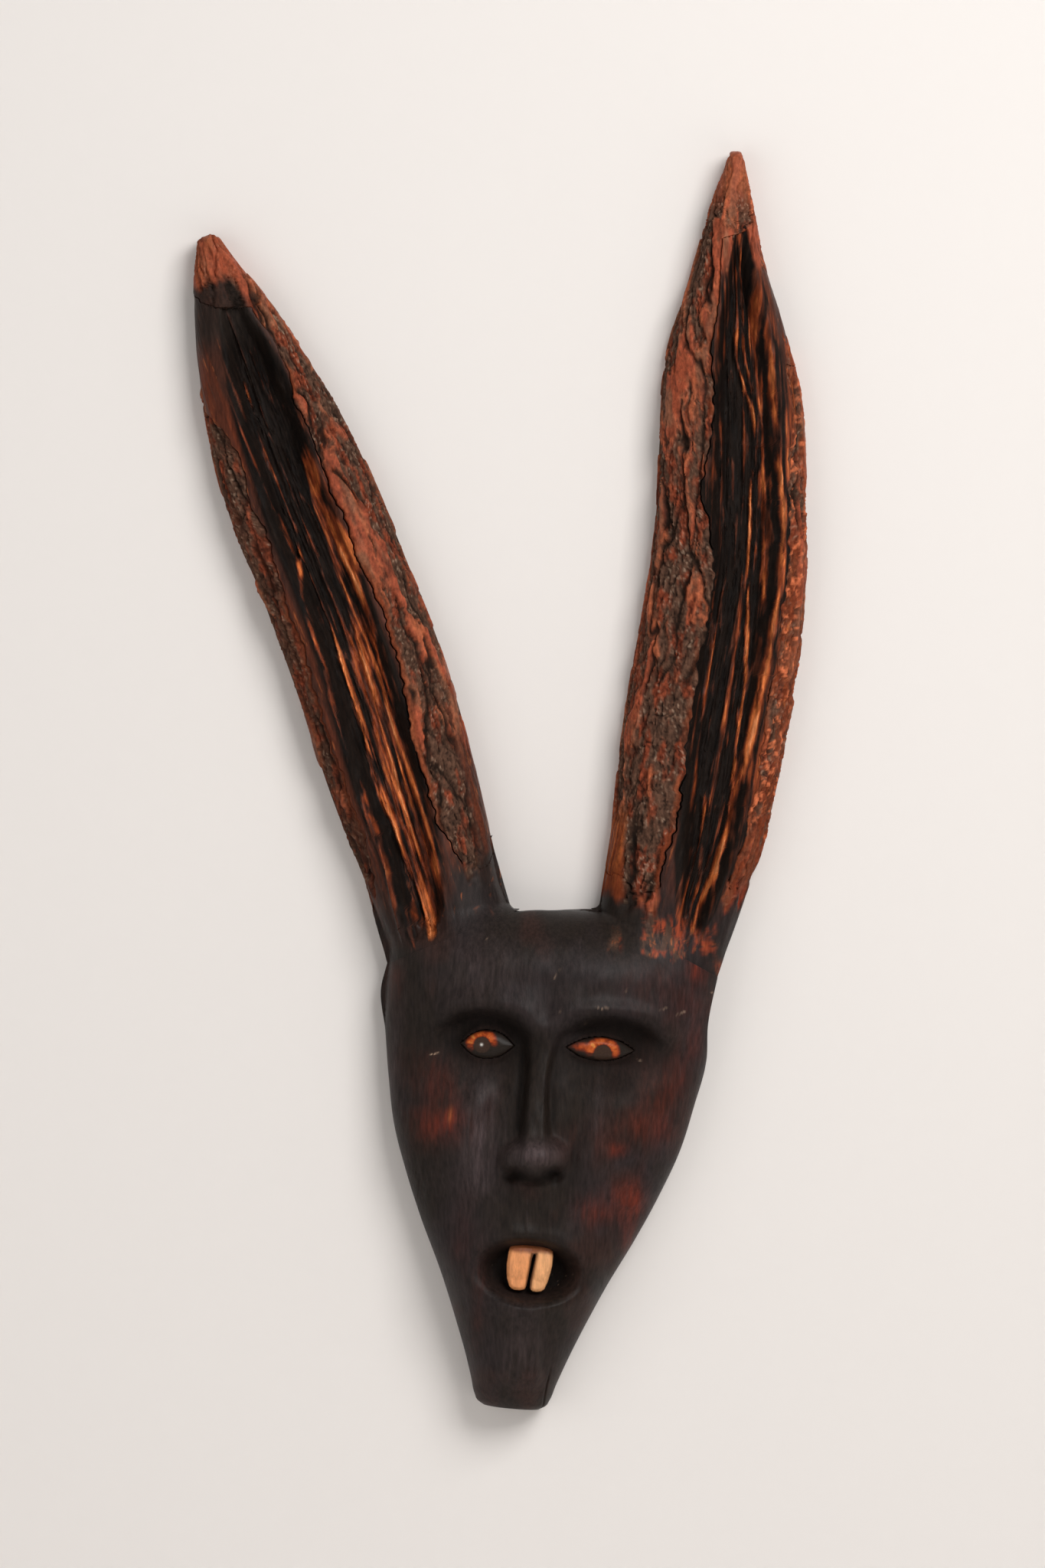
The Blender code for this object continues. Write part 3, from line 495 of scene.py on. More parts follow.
def bulge(a, b, half_a, half_b):
    """A round swelling, 1 in the middle and steep at its rim."""
    return 1 - smooth_step((np.hypot(a / half_a, b / half_b) - 0.50) / 0.56)


def face_relief(a, b):
    """The carving of the face, in mm proud of the plain dome."""
    c = carved_up(b)
    n = c - 1.2 - NOSE_TURN * a
    nose_up = through(NOSE_RISE, n)
    off = np.abs(a - through(NOSE_MIDDLE, n))
    nose = nose_up * (1 - smooth_step((off - through(NOSE_CORE, n)) / through(NOSE_FLANK, n)))
    wings = 16.0 * bulge(a + 0.5, n - 149.5, 22.5, 16.0)
    nose = smooth_max(nose, wings, 5.0)
    bulb = 1.6 * bell(a + 0.4, 9.5) * bell(n - 152.5, 8.0)
    groove = -1.6 * bell(np.abs(a + 0.5) - 24.0, 2.6) * bell(n - 150.0, 11.0)
    cleft = -0.8 * bell(np.abs(a + 0.5) - 12.0, 2.4) * bell(n - 150.5, 6.0)
    under = -9.5 * (bell(a + 10.2, 5.4) + bell(a - 10.4, 5.2)) * bell(n - 140.5, 4.6)
    septum = 2.6 * bell(a - 0.3, 3.4) * bell(n - 139.5, 4.5)
    inner_corner = -2.4 * bell(a + 11.5, 4.0) * rise(n, 165, 25) * fall(n, 232, 24)
    relief = nose + bulb + groove + cleft + under + septum + inner_corner

    for eye in EYES.values():
        u = (a - eye["at"][0]) / eye["half"][0]
        v = (b - eye["at"][1]) / eye["half"][1]
        up_side = smooth_step(v * 1.3 + 0.5)
        ring = np.sqrt(u**2 + (v / mix(1.5, 1.0, up_side)) ** 2)
        floor = 1 - smooth_step((ring - mix(0.22, 0.50, up_side)) / mix(1.30, 0.40, up_side))
        socket = -SOCKET_DEPTH * floor
        ledge = 1.5 * bell(ring - 1.12, 0.22) * rise(v, 0.05, 0.4)
        shape = almond(a, b, eye)
        ex = (a - eye["eye_at"][0]) / eye["eye_half"][0]
        ez = (b - eye["eye_at"][1]) / eye["eye_half"][1]
        ball = EYE_BULGE * (1 - smooth_step((np.hypot(ex, ez / 1.15) - 0.35) / 1.0))
        above = smooth_step(ez * 2.4 + 0.5)
        lid = mix(0.3, 0.9, above) * bell(shape - 1.30, 0.28) * smooth_step((1.22 - np.abs(ex)) / 0.4)
        seat = -EYE_SEAT * (1 - rise(shape, 0.95, 0.06))
        relief = relief + socket + ledge + ball + lid + seat

    brow = 3.0 * bell(c - 242.0, 9.0) * bell(np.abs(a) - 34.0, 34.0)
    frown = -1.8 * bell(a + 2.5, 7.0) * bell(c - 245.0, 12.0)
    fold_left = through(FOLD_LEFT, c)
    fold_right = through(FOLD_RIGHT, c)
    window = rise(c, 116.0, 14.0) * fall(c, 196.0, 22.0)
    folds = -0.9 * bell(a - fold_left, 3.2) + 1.4 * bell(a - fold_left + 8.0, 6.5)
    folds = folds - 0.5 * bell(a - fold_right, 4.0) + 0.8 * bell(a - fold_right - 8.0, 6.5)
    cheek = 1.5 * bell(np.abs(a) - 52.0, 17.0) * bell(c - 184.0, 22.0)
    hollow = -3.2 * bell(np.abs(a) - 50.0, 15.0) * bell(c - 130.0, 26.0)
    hollow = hollow - 2.6 * bell(np.abs(a) - 25.0, 8.0) * bell(c - 180.0, 28.0)
    temple = -2.6 * bell(np.abs(a) - 84.0, 12.0) * bell(c - 226.0, 20.0)

    ring = np.hypot((a - MOUTH[0]) / MOUTH[2], (c - MOUTH[1]) / MOUTH[3])
    mouth = -MOUTH_DEPTH * (1 - rise(ring, 0.62, 0.42))
    lips = 1.3 * bell(ring - 1.20, 0.25)
    muzzle = 3.5 * bell(ring - 1.2, 0.75) * rise(ring, 0.9, 0.3)
    lip_dent = -0.6 * bell(a - 1.5, 6.0) * bell(c - 112.0, 9.0)

    side_step = smooth_step((15.5 - np.abs(a - 0.5 + 0.12 * (c - 40))) / 6.0)
    plane = 2.2 * side_step * rise(c, 6.0, 12.0) * fall(c, 64.0, 10.0)
    dent = -1.3 * bell(a - 36.6, 5.0) * bell(c - 180.0, 15.0)
    pit = -1.2 * bell(a - 42.0, 5.0) * bell(c - 163.0, 6.5)
    knot = 0.9 * bell(np.hypot(a - 57.8, (c - 134.0) * 1.1) - 8.5, 2.6)
    return (
        relief + brow + frown + folds * window + cheek + hollow + temple + mouth + lips + muzzle + lip_dent
        + plane + dent + pit + knot
    )


def foot_ember(x, z):
    """Bark rubbed down to red wood, running over the joint between the right ear and the face block."""
    s, t = RIGHT.place(x, z)
    wander = 3.0 * clouds(x / 7.0, z / 7.0, 171, 3)
    tongue = smooth_step((s + 9.0 + wander) / 4.0) * smooth_step((15.0 - np.abs(t - 3.0) + wander) / 3.0)
    streak = smooth_step((s + 5.0 + wander) / 4.0) * smooth_step((9.0 - np.abs(t - 28.0) + wander) / 4.0)
    low_streak = blot((s + 12.0) / 4.0, (t - 34.0 + 0.5 * s) / 5.0)
    spot = blot(s / 6.0, (t + 26.0) / 3.0)
    window = fall(s, 26.0, 16.0)
    grain = smooth_step(clouds(x / 2.2, z / 8.0, 173) * 1.6 + 0.95)
    edge = fall(s, 4.0, 8.0) * bell(t + 28.0, 3.5) * smooth_step((s + 7.0 + wander) / 5.0)
    glow = (1.0 * tongue + 0.9 * streak + 0.7 * low_streak + 0.8 * spot + 0.7 * edge) * grain * window
    raw = smooth_step(clouds(x / 4.0, z / 9.0, 177) * 1.8 + 0.35 + 0.03 * t)
    shade = tint(flat_paint(x.shape, CRUMB * 0.75), RAW_RED, raw)
    shade = tint(shade, ORANGE * 0.8, smooth_step(clouds(x / 1.6, z / 4.5, 179) * 2.6 - 1.0) * 0.6)
    return np.clip(glow, 0, 1), shade


def face_look(x, z):
    """All of the face block's front: proud height, paint and roughness."""
    a, up = head_place(x, z)
    height, paint, rough = char_look(x, z)
    calm = smooth_step((HEAD_HEIGHT * 0.985 - up) / 40.0)
    height = height + face_relief(a, up) * calm
    b = carved_up(up)
    facets = clouds(a / 17 + 0.4 * noise(a / 30, b / 30, 71), b / 24, 73, 2)
    height = height + (0.60 * facets + 0.18 * clouds(a / 5.0, b / 11.0, 79, 2)) * calm
    jaw = bell(a + 66.0, 9.0) * bell(b - 132.0, 17.0) + bell(a + 79.0, 6.0) * bell(b - 170.0, 18.0)
    height = height - jaw * 0.9 * ridged(a / 2.6, b / 9.0, 83)
    split = bell(a - 20.0 - 0.10 * (b - 10) - 0.5 * wobble(b / 6, 85), 0.5) * fall(b, 26, 8.0)
    height = height - 1.4 * split

    for ga, gb, wa, wb, strength in GLOWS:
        wander = 0.35 * clouds(a / 9, b / 14, 91)
        spot = np.exp(-(((a - ga) / wa) ** 2 + ((b - gb) / wb) ** 2) * (1 + wander))
        grain = 0.62 + 0.38 * clouds(a / 1.6, b / 15, 93) + 0.25 * clouds(a / 6, b / 9, 95)
        paint = tint(paint, EMBER, spot * strength * grain * 0.9)
    core = bell(a + 53.4, 1.2) * bell(b - 172.0, 4.5)
    paint = tint(paint, ORANGE, core * 0.4)
    ember, ember_paint = foot_ember(x, z)
    paint = laid(paint, ember_paint, ember * 0.92)
    height = height - 0.6 * ember * calm * ridged(x / 2.6, z / 5.0, 175)
    mouth_ring = np.hypot((a - MOUTH[0]) / MOUTH[2], (b - MOUTH[1]) / MOUTH[3])
    paint = tint(paint, CHAR_WARM * 1.5, bell(mouth_ring - 0.62, 0.22) * 0.5)
    # Painted shade deep in the mouth, darker than the char, and painted glints on its floor
    inside = 1 - rise(mouth_ring, 0.62, 0.38)
    paint = tint(paint, TROUGH * 0.6, inside * 0.97)
    rough = mix(rough, 0.8, inside)
    glints = smooth_step(clouds(a / 1.4, b / 1.7, 97) * 3.0 - 2.45) * inside
    height = height + 0.4 * glints - 0.5 * inside * ridged(a / 3.5, b / 5.0, 99)
    paint = tint(paint, SPECK, glints * 0.4)
    for eye in EYES.values():
        u = (a - eye["at"][0]) / (eye["half"][0] - 2.0)
        v = (up - eye["at"][1] + 0.5) / eye["half"][1]
        shadow = np.exp(-((u**2 + v**2) ** mix(1.5, 3.2, smooth_step(v * 1.5 + 0.2))))
        paint = tint(paint, TROUGH * 0.6, 0.98 * shadow)
        rough = mix(rough, 0.85, shadow)
        shape = almond(a, up, eye)
        near = smooth_step((1.15 - np.abs(a - eye["eye_at"][0]) / eye["eye_half"][0]) / 0.3)
        paint = tint(paint, CHAR_WARM * 1.1, 0.20 * bell(shape - 1.25, 0.14) * near)
    # Painted shade under both eyes, over the lower rims of the sockets
    below = (
        0.75 * bell(a - 38.0, 24.0) * bell(up - 203.0, 12.0)
        + 0.6 * bell(a + 36.0, 17.0) * bell(up - 206.0, 9.0)
    )
    paint = tint(paint, TROUGH * 1.5, below)
    rough = mix(rough, 0.85, below)
    middle = through(NOSE_MIDDLE, b)
    turned = b - 1.2 - NOSE_TURN * a
    # Painted shade along the nose's left flank, fainter on its right, under it at the nostrils and round its
    # wings
    nose_flank_shade = bell(a - middle + 10.0, 3.4) * rise(b, 160, 12) * fall(b, 236, 16)
    nose_flank_shade = nose_flank_shade + 0.45 * bell(a - middle - 10.0, 2.6) * rise(b, 165, 14) * fall(b, 228, 20)
    under = blot(a / 19, (turned - 137.5) / 4.2)
    under = under + (bell(a + 10.2, 4.8) + bell(a - 10.4, 4.6)) * bell(turned - 141.0, 3.6)
    wing_crease_shade = bell(np.abs(a + 0.5) - 24.5, 2.8) * bell(turned - 150.0, 13.0)
    nose_shade = np.clip(0.85 * nose_flank_shade + 0.85 * under + 0.65 * wing_crease_shade, 0, 1)
    paint = tint(paint, TROUGH * 0.7, nose_shade)
    rough = mix(rough, 0.8, nose_shade)
    for sa, sb, length, slope, strength in SCRATCHES:
        run = (a - sa) + (b - sb) * slope
        run = run / math.hypot(1, slope)
        aside = ((b - sb) - (a - sa) * slope) / math.hypot(1, slope)
        aside = aside + 0.5 * wobble(run / 1.6, 103)
        line = bell(aside, 0.42) * smooth_step((length / 2 - np.abs(run)) / 1.2)
        line = line * smooth_step(0.75 + noise(run / 1.1, aside, 107))
        paint = tint(paint, SPECK * 1.3, line * strength)
        height = height - 0.25 * line * strength
    # Painted sheen: paler cool highlights on the left cheek, the upper forehead, the chin, the left edge and
    # the right cheek, where the roughness is also a little lower
    painted_sheen = 1.2 * bell(a + 34.0, 11.0) * bell(b - 155.0, 34.0) * rise(b, 112, 20)
    painted_sheen = (
        painted_sheen + 0.6 * bell(a + 42.0, 22.0) * bell(b - 262.0, 20.0)
        + 0.5 * bell(a - 2.0, 16.0) * bell(b - 33.0, 22.0)
    )
    painted_sheen = (
        painted_sheen + 0.5 * bell(a + 92.0, 5.0) * bell(b - 205.0, 40.0)
        + 0.4 * bell(a - 35.0, 8.0) * bell(b - 180.0, 22.0)
    )
    streaks = 0.75 + 0.5 * clouds(a / 1.5, b / 22.0, 109)
    rough = rough - 0.07 * painted_sheen
    paint = tint(paint, CHAR_COOL * 2.7, 0.75 * painted_sheen * streaks)
    # Painted highlight on the nose tip
    tip = blot((a + 0.5) / 16, (turned - 154) / 7.0)
    paint = tint(paint, CHAR_COOL * 3.1, 0.85 * tip)
    return height, paint, rough


# Ears: the channel's middle and half width, then its ridges, all as (mm along, share across)
CHANNEL = {
    "left": {
        "middle": [(0, -0.36), (45, -0.22), (100, -0.17), (200, -0.10), (300, -0.04), (416, 0.08)],
        "half": [(0, 0.26), (30, 0.34), (100, 0.42), (200, 0.40), (300, 0.42), (380, 0.40), (420, 0.20)],
        "foot": -8.0, "head": 424.0, "depth": 14.0,
    },
    "right": {
        "middle": [(0, 0.36), (50, 0.30), (120, 0.21), (250, 0.17), (350, 0.18), (437, 0.35)],
        "half": [(0, 0.12), (50, 0.30), (120, 0.42), (250, 0.46), (350, 0.46), (410, 0.34), (440, 0.16)],
        "foot": 0.0, "head": 446.0, "depth": 15.0,
    },
}
# Each ridge: its line, height, half thickness in mm and how orange it is
RIDGES = {
    "left": [
        (
            [(60, -0.68), (144, -0.57), (180, -0.52), (220, -0.49), (261, -0.26), (312, -0.29), (372, -0.2)],
            2.6, 1.5, 0.75,
        ),
        ([(-8, -0.66), (30, -0.47), (63, -0.37), (104, -0.37), (139, -0.35), (208, -0.29)], 3.4, 1.9, 1.25),
        ([(2, -0.78), (40, -0.66), (75, -0.60), (104, -0.56), (128, -0.52)], 2.4, 1.3, 0.9),
        (
            [(30, 0.10), (66, 0.14), (96, 0.13), (128, 0.12), (155, 0.16), (194, 0.25), (253, 0.26)], 2.6,
            1.4, 0.75,
        ),
        ([(40, -0.10), (80, -0.12), (120, -0.08), (165, -0.02), (200, 0.04)], 1.8, 1.1, 0.8),
        ([(55, 0.03), (95, 0.0), (130, 0.06), (180, 0.12), (235, 0.10)], 1.6, 1.0, 0.7),
        ([(225, -0.42), (280, -0.40), (340, -0.48)], 1.5, 1.2, 0.45),
        ([(385, -0.08), (400, -0.10), (412, -0.10)], 2.0, 2.2, 1.0),
        ([(-6, -0.40), (15, -0.30), (34, -0.22)], 2.0, 2.4, 0.7),
    ],
    "right": [
        ([(375, 0.27), (395, 0.36), (406, 0.41), (433, 0.34), (442, 0.33)], 2.6, 1.7, 1.0),
        (
            [
                (90, 0.52), (152, 0.44), (183, 0.37), (236, 0.29), (286, 0.28), (297, 0.33), (332, 0.28),
                (345, 0.16), (358, 0.09), (382, 0.10),
            ],
            3.2, 1.5, 1.15,
        ),
        ([(340, 0.30), (346, 0.29), (359, 0.26), (381, 0.27)], 1.8, 1.2, 0.8),
        (
            [
                (-4, 0.30), (8, 0.38), (52, 0.55), (92, 0.57), (141, 0.59), (184, 0.62), (215, 0.67),
                (250, 0.68), (290, 0.63), (338, 0.65), (379, 0.66),
            ],
            2.6, 1.35, 1.05,
        ),
        ([(20, 0.22), (50, 0.12), (80, 0.0), (110, -0.03), (150, -0.06), (200, -0.10)], 2.2, 1.3, 0.5),
        ([(45, 0.30), (55, 0.27), (80, 0.17), (107, 0.09), (140, 0.08)], 2.0, 1.1, 0.75),
        ([(10, 0.33), (30, 0.34), (60, 0.40), (100, 0.38), (140, 0.30)], 1.6, 1.2, 0.6),
        ([(255, -0.10), (300, -0.16), (350, -0.14), (390, -0.06)], 2.0, 1.2, 0.45),
        ([(205, 0.52), (250, 0.50), (300, 0.47), (340, 0.46)], 1.4, 1.1, 0.6),
    ],
}
# Middle and half width of the left channel's amber wall
AMBER_LEFT = [
    (0, -0.36), (16, -0.32), (62, -0.15), (110, -0.05), (134, -0.03), (158, 0.02), (181, 0.07), (204, 0.13),
    (228, 0.19),
    (263, 0.27), (283, 0.27), (318, 0.28),
]
AMBER_LEFT_HALF = [
    (0, 0.22), (16, 0.23), (62, 0.29), (110, 0.30), (134, 0.31), (158, 0.28), (181, 0.23), (204, 0.22),
    (228, 0.21),
    (263, 0.13), (283, 0.09), (318, 0.05),
]
# Where the bark ends towards the channel, on the inner and outer side of each ear
BARK_LINE = {
    "left": {
        "inner": [
            (0, 0.50), (45, 0.44), (74, 0.27), (103, 0.27), (130, 0.28), (152, 0.36), (271, 0.43),
            (339, 0.50), (360, 0.58), (411, 0.52),
        ],
        "outer": [
            (0, 0.95), (52, 0.86), (67, 0.80), (111, 0.76), (155, 0.76), (198, 0.72), (241, 0.65),
            (280, 0.63),
            (318, 0.64), (336, 0.78), (348, 0.93), (430, 0.95),
        ],
        "inner_foot": 38.0, "outer_foot": 54.0, "outer_head": 347.0, "cap": 400.0,
    },
    "right": {
        "inner": [
            (0, 0.12), (43, 0.22), (78, 0.18), (121, 0.20), (172, 0.21), (236, 0.22), (256, 0.31),
            (273, 0.46), (290, 0.39), (335, 0.29), (368, 0.31), (435, 0.30),
        ],
        "outer": [
            (0, 0.60), (48, 0.70), (100, 0.73), (121, 0.72), (241, 0.76), (290, 0.78), (357, 0.88),
            (430, 0.92),
        ],
        "inner_foot": 30.0, "outer_foot": 48.0, "outer_head": 357.0, "cap": 428.0,
    },
}
# Bark left on the wood below the strips' feet, and how far down it reaches
FOOT_BARK = {"left": 30.0, "right": -2.0}
CAP_SWEEP = 24.0


def to_p(q):
    return np.arcsin(np.clip(q, -1, 1)) * 2 / np.pi


def bark_line(ear, which, s):
    """Signed place of the bark's edge, in the same measure as p, with a torn outline."""
    way = ear.inward if which == "inner" else -ear.inward
    seed = {"left": 200, "right": 300}[ear.side] + (0 if which == "inner" else 40)
    q = through(BARK_LINE[ear.side][which], s)
    torn = 0.030 * wobble(s / 13.0, seed) + 0.024 * wobble(s / 5.0, seed + 1)
    torn = torn + 0.010 * wobble(s / 1.9, seed + 2)
    return way * to_p(np.clip(q + torn, 0.02, 0.985))


def inner_line(ear, s):
    """The inner bark's edge, swept right over the ear's front near the tip, where bark is left all round."""
    cap = BARK_LINE[ear.side]["cap"]
    swept = np.clip((s - cap) / CAP_SWEEP, 0, 1)
    lid = swept + 0.5 * swept * (1 - swept) * wobble(s / 3.5, 231)
    return mix(bark_line(ear, "inner", s), -ear.inward * (1 + WALL), lid)


def foot_wave(p):
    """How far the strips' feet run up or down, so that they don't end in a straight cut."""
    return 7.0 * wobble(p * 3.1, 233) + 3.0 * wobble(p * 9.0, 235)


# Scorched wood's colours: each from where its glow starts, over what width and how far
SCORCH = [
    (WALNUT, 0.02, 0.22, 1.0), (RUST, 0.22, 0.30, 1.0), (ORANGE, 0.52, 0.38, 1.0), (TAN, 1.05, 0.45, 0.75),
]


def bark_look(s, w, seed, crumbly=0.0):
    """Bark at s along and w round the ear, more broken where crumbly: proud height, paint and roughness."""

    def mottle(along, across, kind, octaves=3):
        return clouds(s / along, w / across, seed + kind, octaves)

    ws = s + 9.0 * mottle(40, 13, 0, 2) + 2.0 * mottle(8, 5, 2, 2)
    ww = w + 4.2 * mottle(30, 12, 5, 2) + 1.5 * mottle(7, 4, 6, 2)
    gap, who, lengthwise = cells(ws, ww, 88.0, 14.5, seed)
    chip_gap, chip, chip_way = cells(ws + 61.0, ww, 20.0, 6.0, seed + 31)
    torn = clouds(ws / 46, ww / 8.5, seed + 3, 4) * 1.5 + 0.9 * (who - 0.5) + 0.44 - 0.5 * rise(s, 300, 90)
    torn = torn + crumbly
    rough_zone = smooth_step(torn * 1.9 + 0.5)
    border = bell(rough_zone - 0.5, 0.22)
    open_crack = smooth_step(mottle(34, 18, 27, 2) * 2.4 + 0.95)
    crack = (1 - rise(gap, 0.20, 0.7 + 1.1 * lengthwise)) * open_crack * mix(0.45, 1.0, lengthwise)
    chip_crack = (1 - rise(chip_gap, 0.1, 0.4 + 0.5 * chip_way)) * mix(0.10, 0.9, rough_zone)
    chip_crack = chip_crack * smooth_step(mottle(15, 9, 29, 2) * 2.0 + 0.6)
    layers = clouds(ws / 26, ww / 8, seed + 9, 3) * 0.5 + 0.5
    steps = layers * 4
    stepped = (np.floor(steps) + smooth_step((steps - np.floor(steps) - 0.3) * 3.5)) / 4
    crumbs = ridged(s / 5.2, w / 2.7, seed + 12, 3)
    grit = mottle(1.6, 1.1, 14, 2)
    height = 1.0 * (who - 0.5) + mix(0.7, 1.2, rough_zone) * (stepped - 0.5)
    height = (
        height + mix(1.0, -0.5, rough_zone) + rough_zone * (0.9 * (chip - 0.5) - 1.7 * crumbs + 0.4 * grit)
    )
    height = height - 2.4 * crack - 1.4 * chip_crack + 0.12 * mottle(3.5, 1.8, 16, 2)
    hue = mottle(44, 10, 18, 3) + 0.9 * (who - 0.5)
    plate = tint(flat_paint(s.shape, PLATE_RED), PLATE_ORANGE, smooth_step(hue * 1.6 + 0.25) * 0.85)
    plate = tint(plate, PLATE_BROWN, smooth_step(mottle(25, 7, 20, 3) * 1.7 + 0.2) * 0.8)
    plate = plate * (1.0 + 0.34 * mottle(5, 1.9, 19) + 0.36 * (stepped - 0.5))[..., None]
    plate = tint(plate, PLATE_RED * 0.4, smooth_step(mottle(14, 3.2, 22, 3) * 2.2 - 0.3) * 0.65)
    crumb = tint(flat_paint(s.shape, CRUMB), PLATE_RED * 0.7, smooth_step(mottle(13, 5, 21) * 1.7))
    crumb = crumb * np.clip(1.25 - 1.0 * crumbs + 0.45 * grit, 0.15, 2.0)[..., None]
    pale = smooth_step(grit * 2.4 - 1.0) * smooth_step(mottle(14, 6, 23) * 1.6 + 0.5)
    crumb = tint(crumb, SPECK, pale * 0.7)
    paint = plate + (crumb - plate) * rough_zone[..., None]
    paint = tint(paint, TROUGH * 2.0, border * 0.60 * smooth_step(mottle(9, 5, 33) * 2 + 0.5))
    paint = tint(paint, PLATE_ORANGE * 1.2, bell(rough_zone - 0.16, 0.09) * 0.5)
    paint = tint(paint, TROUGH * 1.4, crack * 0.95)
    paint = tint(paint, TROUGH * 2.0, chip_crack * 0.8)
    rough = mix(0.56, 0.84, rough_zone) + 0.1 * crack + 0.04 * grit
    return height, np.maximum(paint, 0.002), rough


def ear_look(ear, s, p, w, x, z):
    """Gouged and scorched wood, and the bark on it: proud height, paint and roughness."""
    side = ear.side
    seed = 400 if side == "left" else 500

    def mottle(along, across, kind, octaves=3):
        return clouds(s / along, w / across, seed + kind, octaves)

    true_s, true_t = ear.place(x, z)
    q = np.clip(ear.share_across(true_s, true_t), -1.0, 1.0)
    channel = CHANNEL[side]
    off = (q - through(channel["middle"], true_s)) / through(channel["half"], true_s)
    ends = rise(true_s, channel["foot"], 30.0) * fall(true_s, channel["head"], 50.0)
    wavy = 0.10 * clouds(true_s / 30, q * 3, seed) + 0.05 * clouds(true_s / 9, q * 5, seed + 1)
    inside = 1 - smooth_step((np.abs(off + wavy) - 0.55) / 0.60)
    height = -channel["depth"] * inside * ends

    long_fibre = ridged(s / 75.0 + 0.3 * noise(s / 40, w / 6, seed + 2), w / 5.5, seed + 3, 3)
    short_fibre = ridged(s / 26.0, w / 2.4, seed + 5, 2)
    gouged = smooth_step(1.35 - np.abs(off)) * ends
    height = height + gouged * (3.2 * (long_fibre - 0.35) + 1.1 * (short_fibre - 0.4))
    height = height + (1 - gouged) * (0.5 * (long_fibre - 0.4) + 0.25 * mottle(30, 3, 6))
    height = height + gouged * 0.35 * mottle(6, 1.6, 8, 2)

    # Scorched colour: black in the troughs, orange where the ridges are rubbed
    heat = mottle(60, 9, 11) * 0.28 + mottle(22, 3.0, 12) * 0.20
    crest = (long_fibre - 0.42) * 1.1 + (short_fibre - 0.45) * 0.45
    glow = 0.16 + heat + crest * gouged
    silk = mottle(48, 1.5, 13, 3)
    if side == "left":
        wander = 0.07 * clouds(true_s / 30, q * 2, seed + 14, 2)
        away = np.abs(q - through(AMBER_LEFT, true_s) - wander) / through(AMBER_LEFT_HALF, true_s)
        amber = (1 - rise(away, 0.55, 0.5)) * fall(true_s, 318, 20) * rise(true_s, -4, 12)
        glow = glow - 0.20 * rise(true_s, 60, 60.0) - 0.14 * rise(true_s, 250, 60) + 0.16 * silk
        threads = smooth_step(mottle(70, 1.3, 15, 2) * 2.4 - 0.35)
        glow = glow + 0.22 * threads
        patchy = mottle(16, 5, 16, 3)
        glow = mix(
            glow, 0.62 + 0.6 * heat + 0.30 * patchy + 0.26 * crest * gouged + 0.36 * silk, amber * 0.95,
        )
    else:
        wall = bell(off - 0.80, 0.50) * fall(true_s, 370, 80) * rise(true_s, 10, 30)
        glow = glow + 0.27 * wall + 0.34 * silk + 0.10 * mottle(14, 4, 16, 2)
        glow = glow - 0.34 * bell(off + 0.30, 0.55) * rise(true_s, 60, 60) * fall(true_s, 400, 60)
    ridge_rise = np.zeros(s.shape)
    for k, (line, tall, thick, warmth) in enumerate(RIDGES[side]):
        middle = through(line, true_s)
        low, high = ear.edges(true_s)
        away = (q - middle) * (high - low) / 2 + 1.0 * wobble(true_s / 34, seed + 60 + k)
        away = away + 0.28 * wobble(true_s / 8, seed + 80 + k)
        lit = rise(true_s, line[0][0], 12.0) * fall(true_s, line[-1][0], 12.0)
        broken = (
            0.58 + 0.45 * wobble(true_s / 22, seed + 100 + k)
            + 0.35 * clouds(true_s / 7, w / 1.6, seed + 120 + k)
        )
        thick = thick * (1.0 + 0.3 * wobble(true_s / 11, seed + 140 + k))
        body = bell(away, thick * 1.15) * lit * np.clip(broken, 0.15, 1.2)
        ridge_rise = ridge_rise + tall * body
        glow = glow + warmth * bell(away, thick * 0.85) * lit * np.clip(broken + 0.4 * silk, 0.0, 1.1)
        glow = glow - 0.35 * warmth * bell(np.abs(away) - thick * 2.4, thick) * lit
    height = height + ridge_rise
    paint = flat_paint(s.shape, TROUGH)
    for shade, start, width, most in SCORCH:
        paint = tint(paint, shade, rise(glow, start, width) * most)
    hair = mottle(14, 0.9, 17, 2)
    paint = paint * (1 + 0.55 * hair)[..., None]
    rough = 0.52 + 0.12 * mottle(12, 2, 19) + 0.22 * (1 - rise(glow, 0.05, 0.30))

    # Smooth charred lip outside the channel
    outside = rise(np.abs(off), 1.12, 0.25) if side == "left" else rise(np.abs(off), 1.3, 0.2)
    _, lip_paint, lip_rough = char_look(x, z)
    flecks = smooth_step(mottle(11, 1.5, 23, 3) * 2.6 - 1.45)
    red = smooth_step(mottle(48, 8, 25) * 1.5 + 0.05)
    streaked = smooth_step(mottle(65, 2.6, 27, 3) * 1.8 + 0.15)
    lip_paint = tint(lip_paint, WALNUT * 1.25, 0.75 * rise(true_s, 15, 50))
    lip_paint = tint(lip_paint, RUST * 0.8, (0.35 * red + 0.45 * streaked) * rise(true_s, 10, 60))
    lip_paint = tint(lip_paint, ORANGE, flecks * 0.5 * rise(true_s, 15, 40))
    paint = laid(paint, lip_paint, outside * 0.92)
    rough = mix(rough, lip_rough, outside)

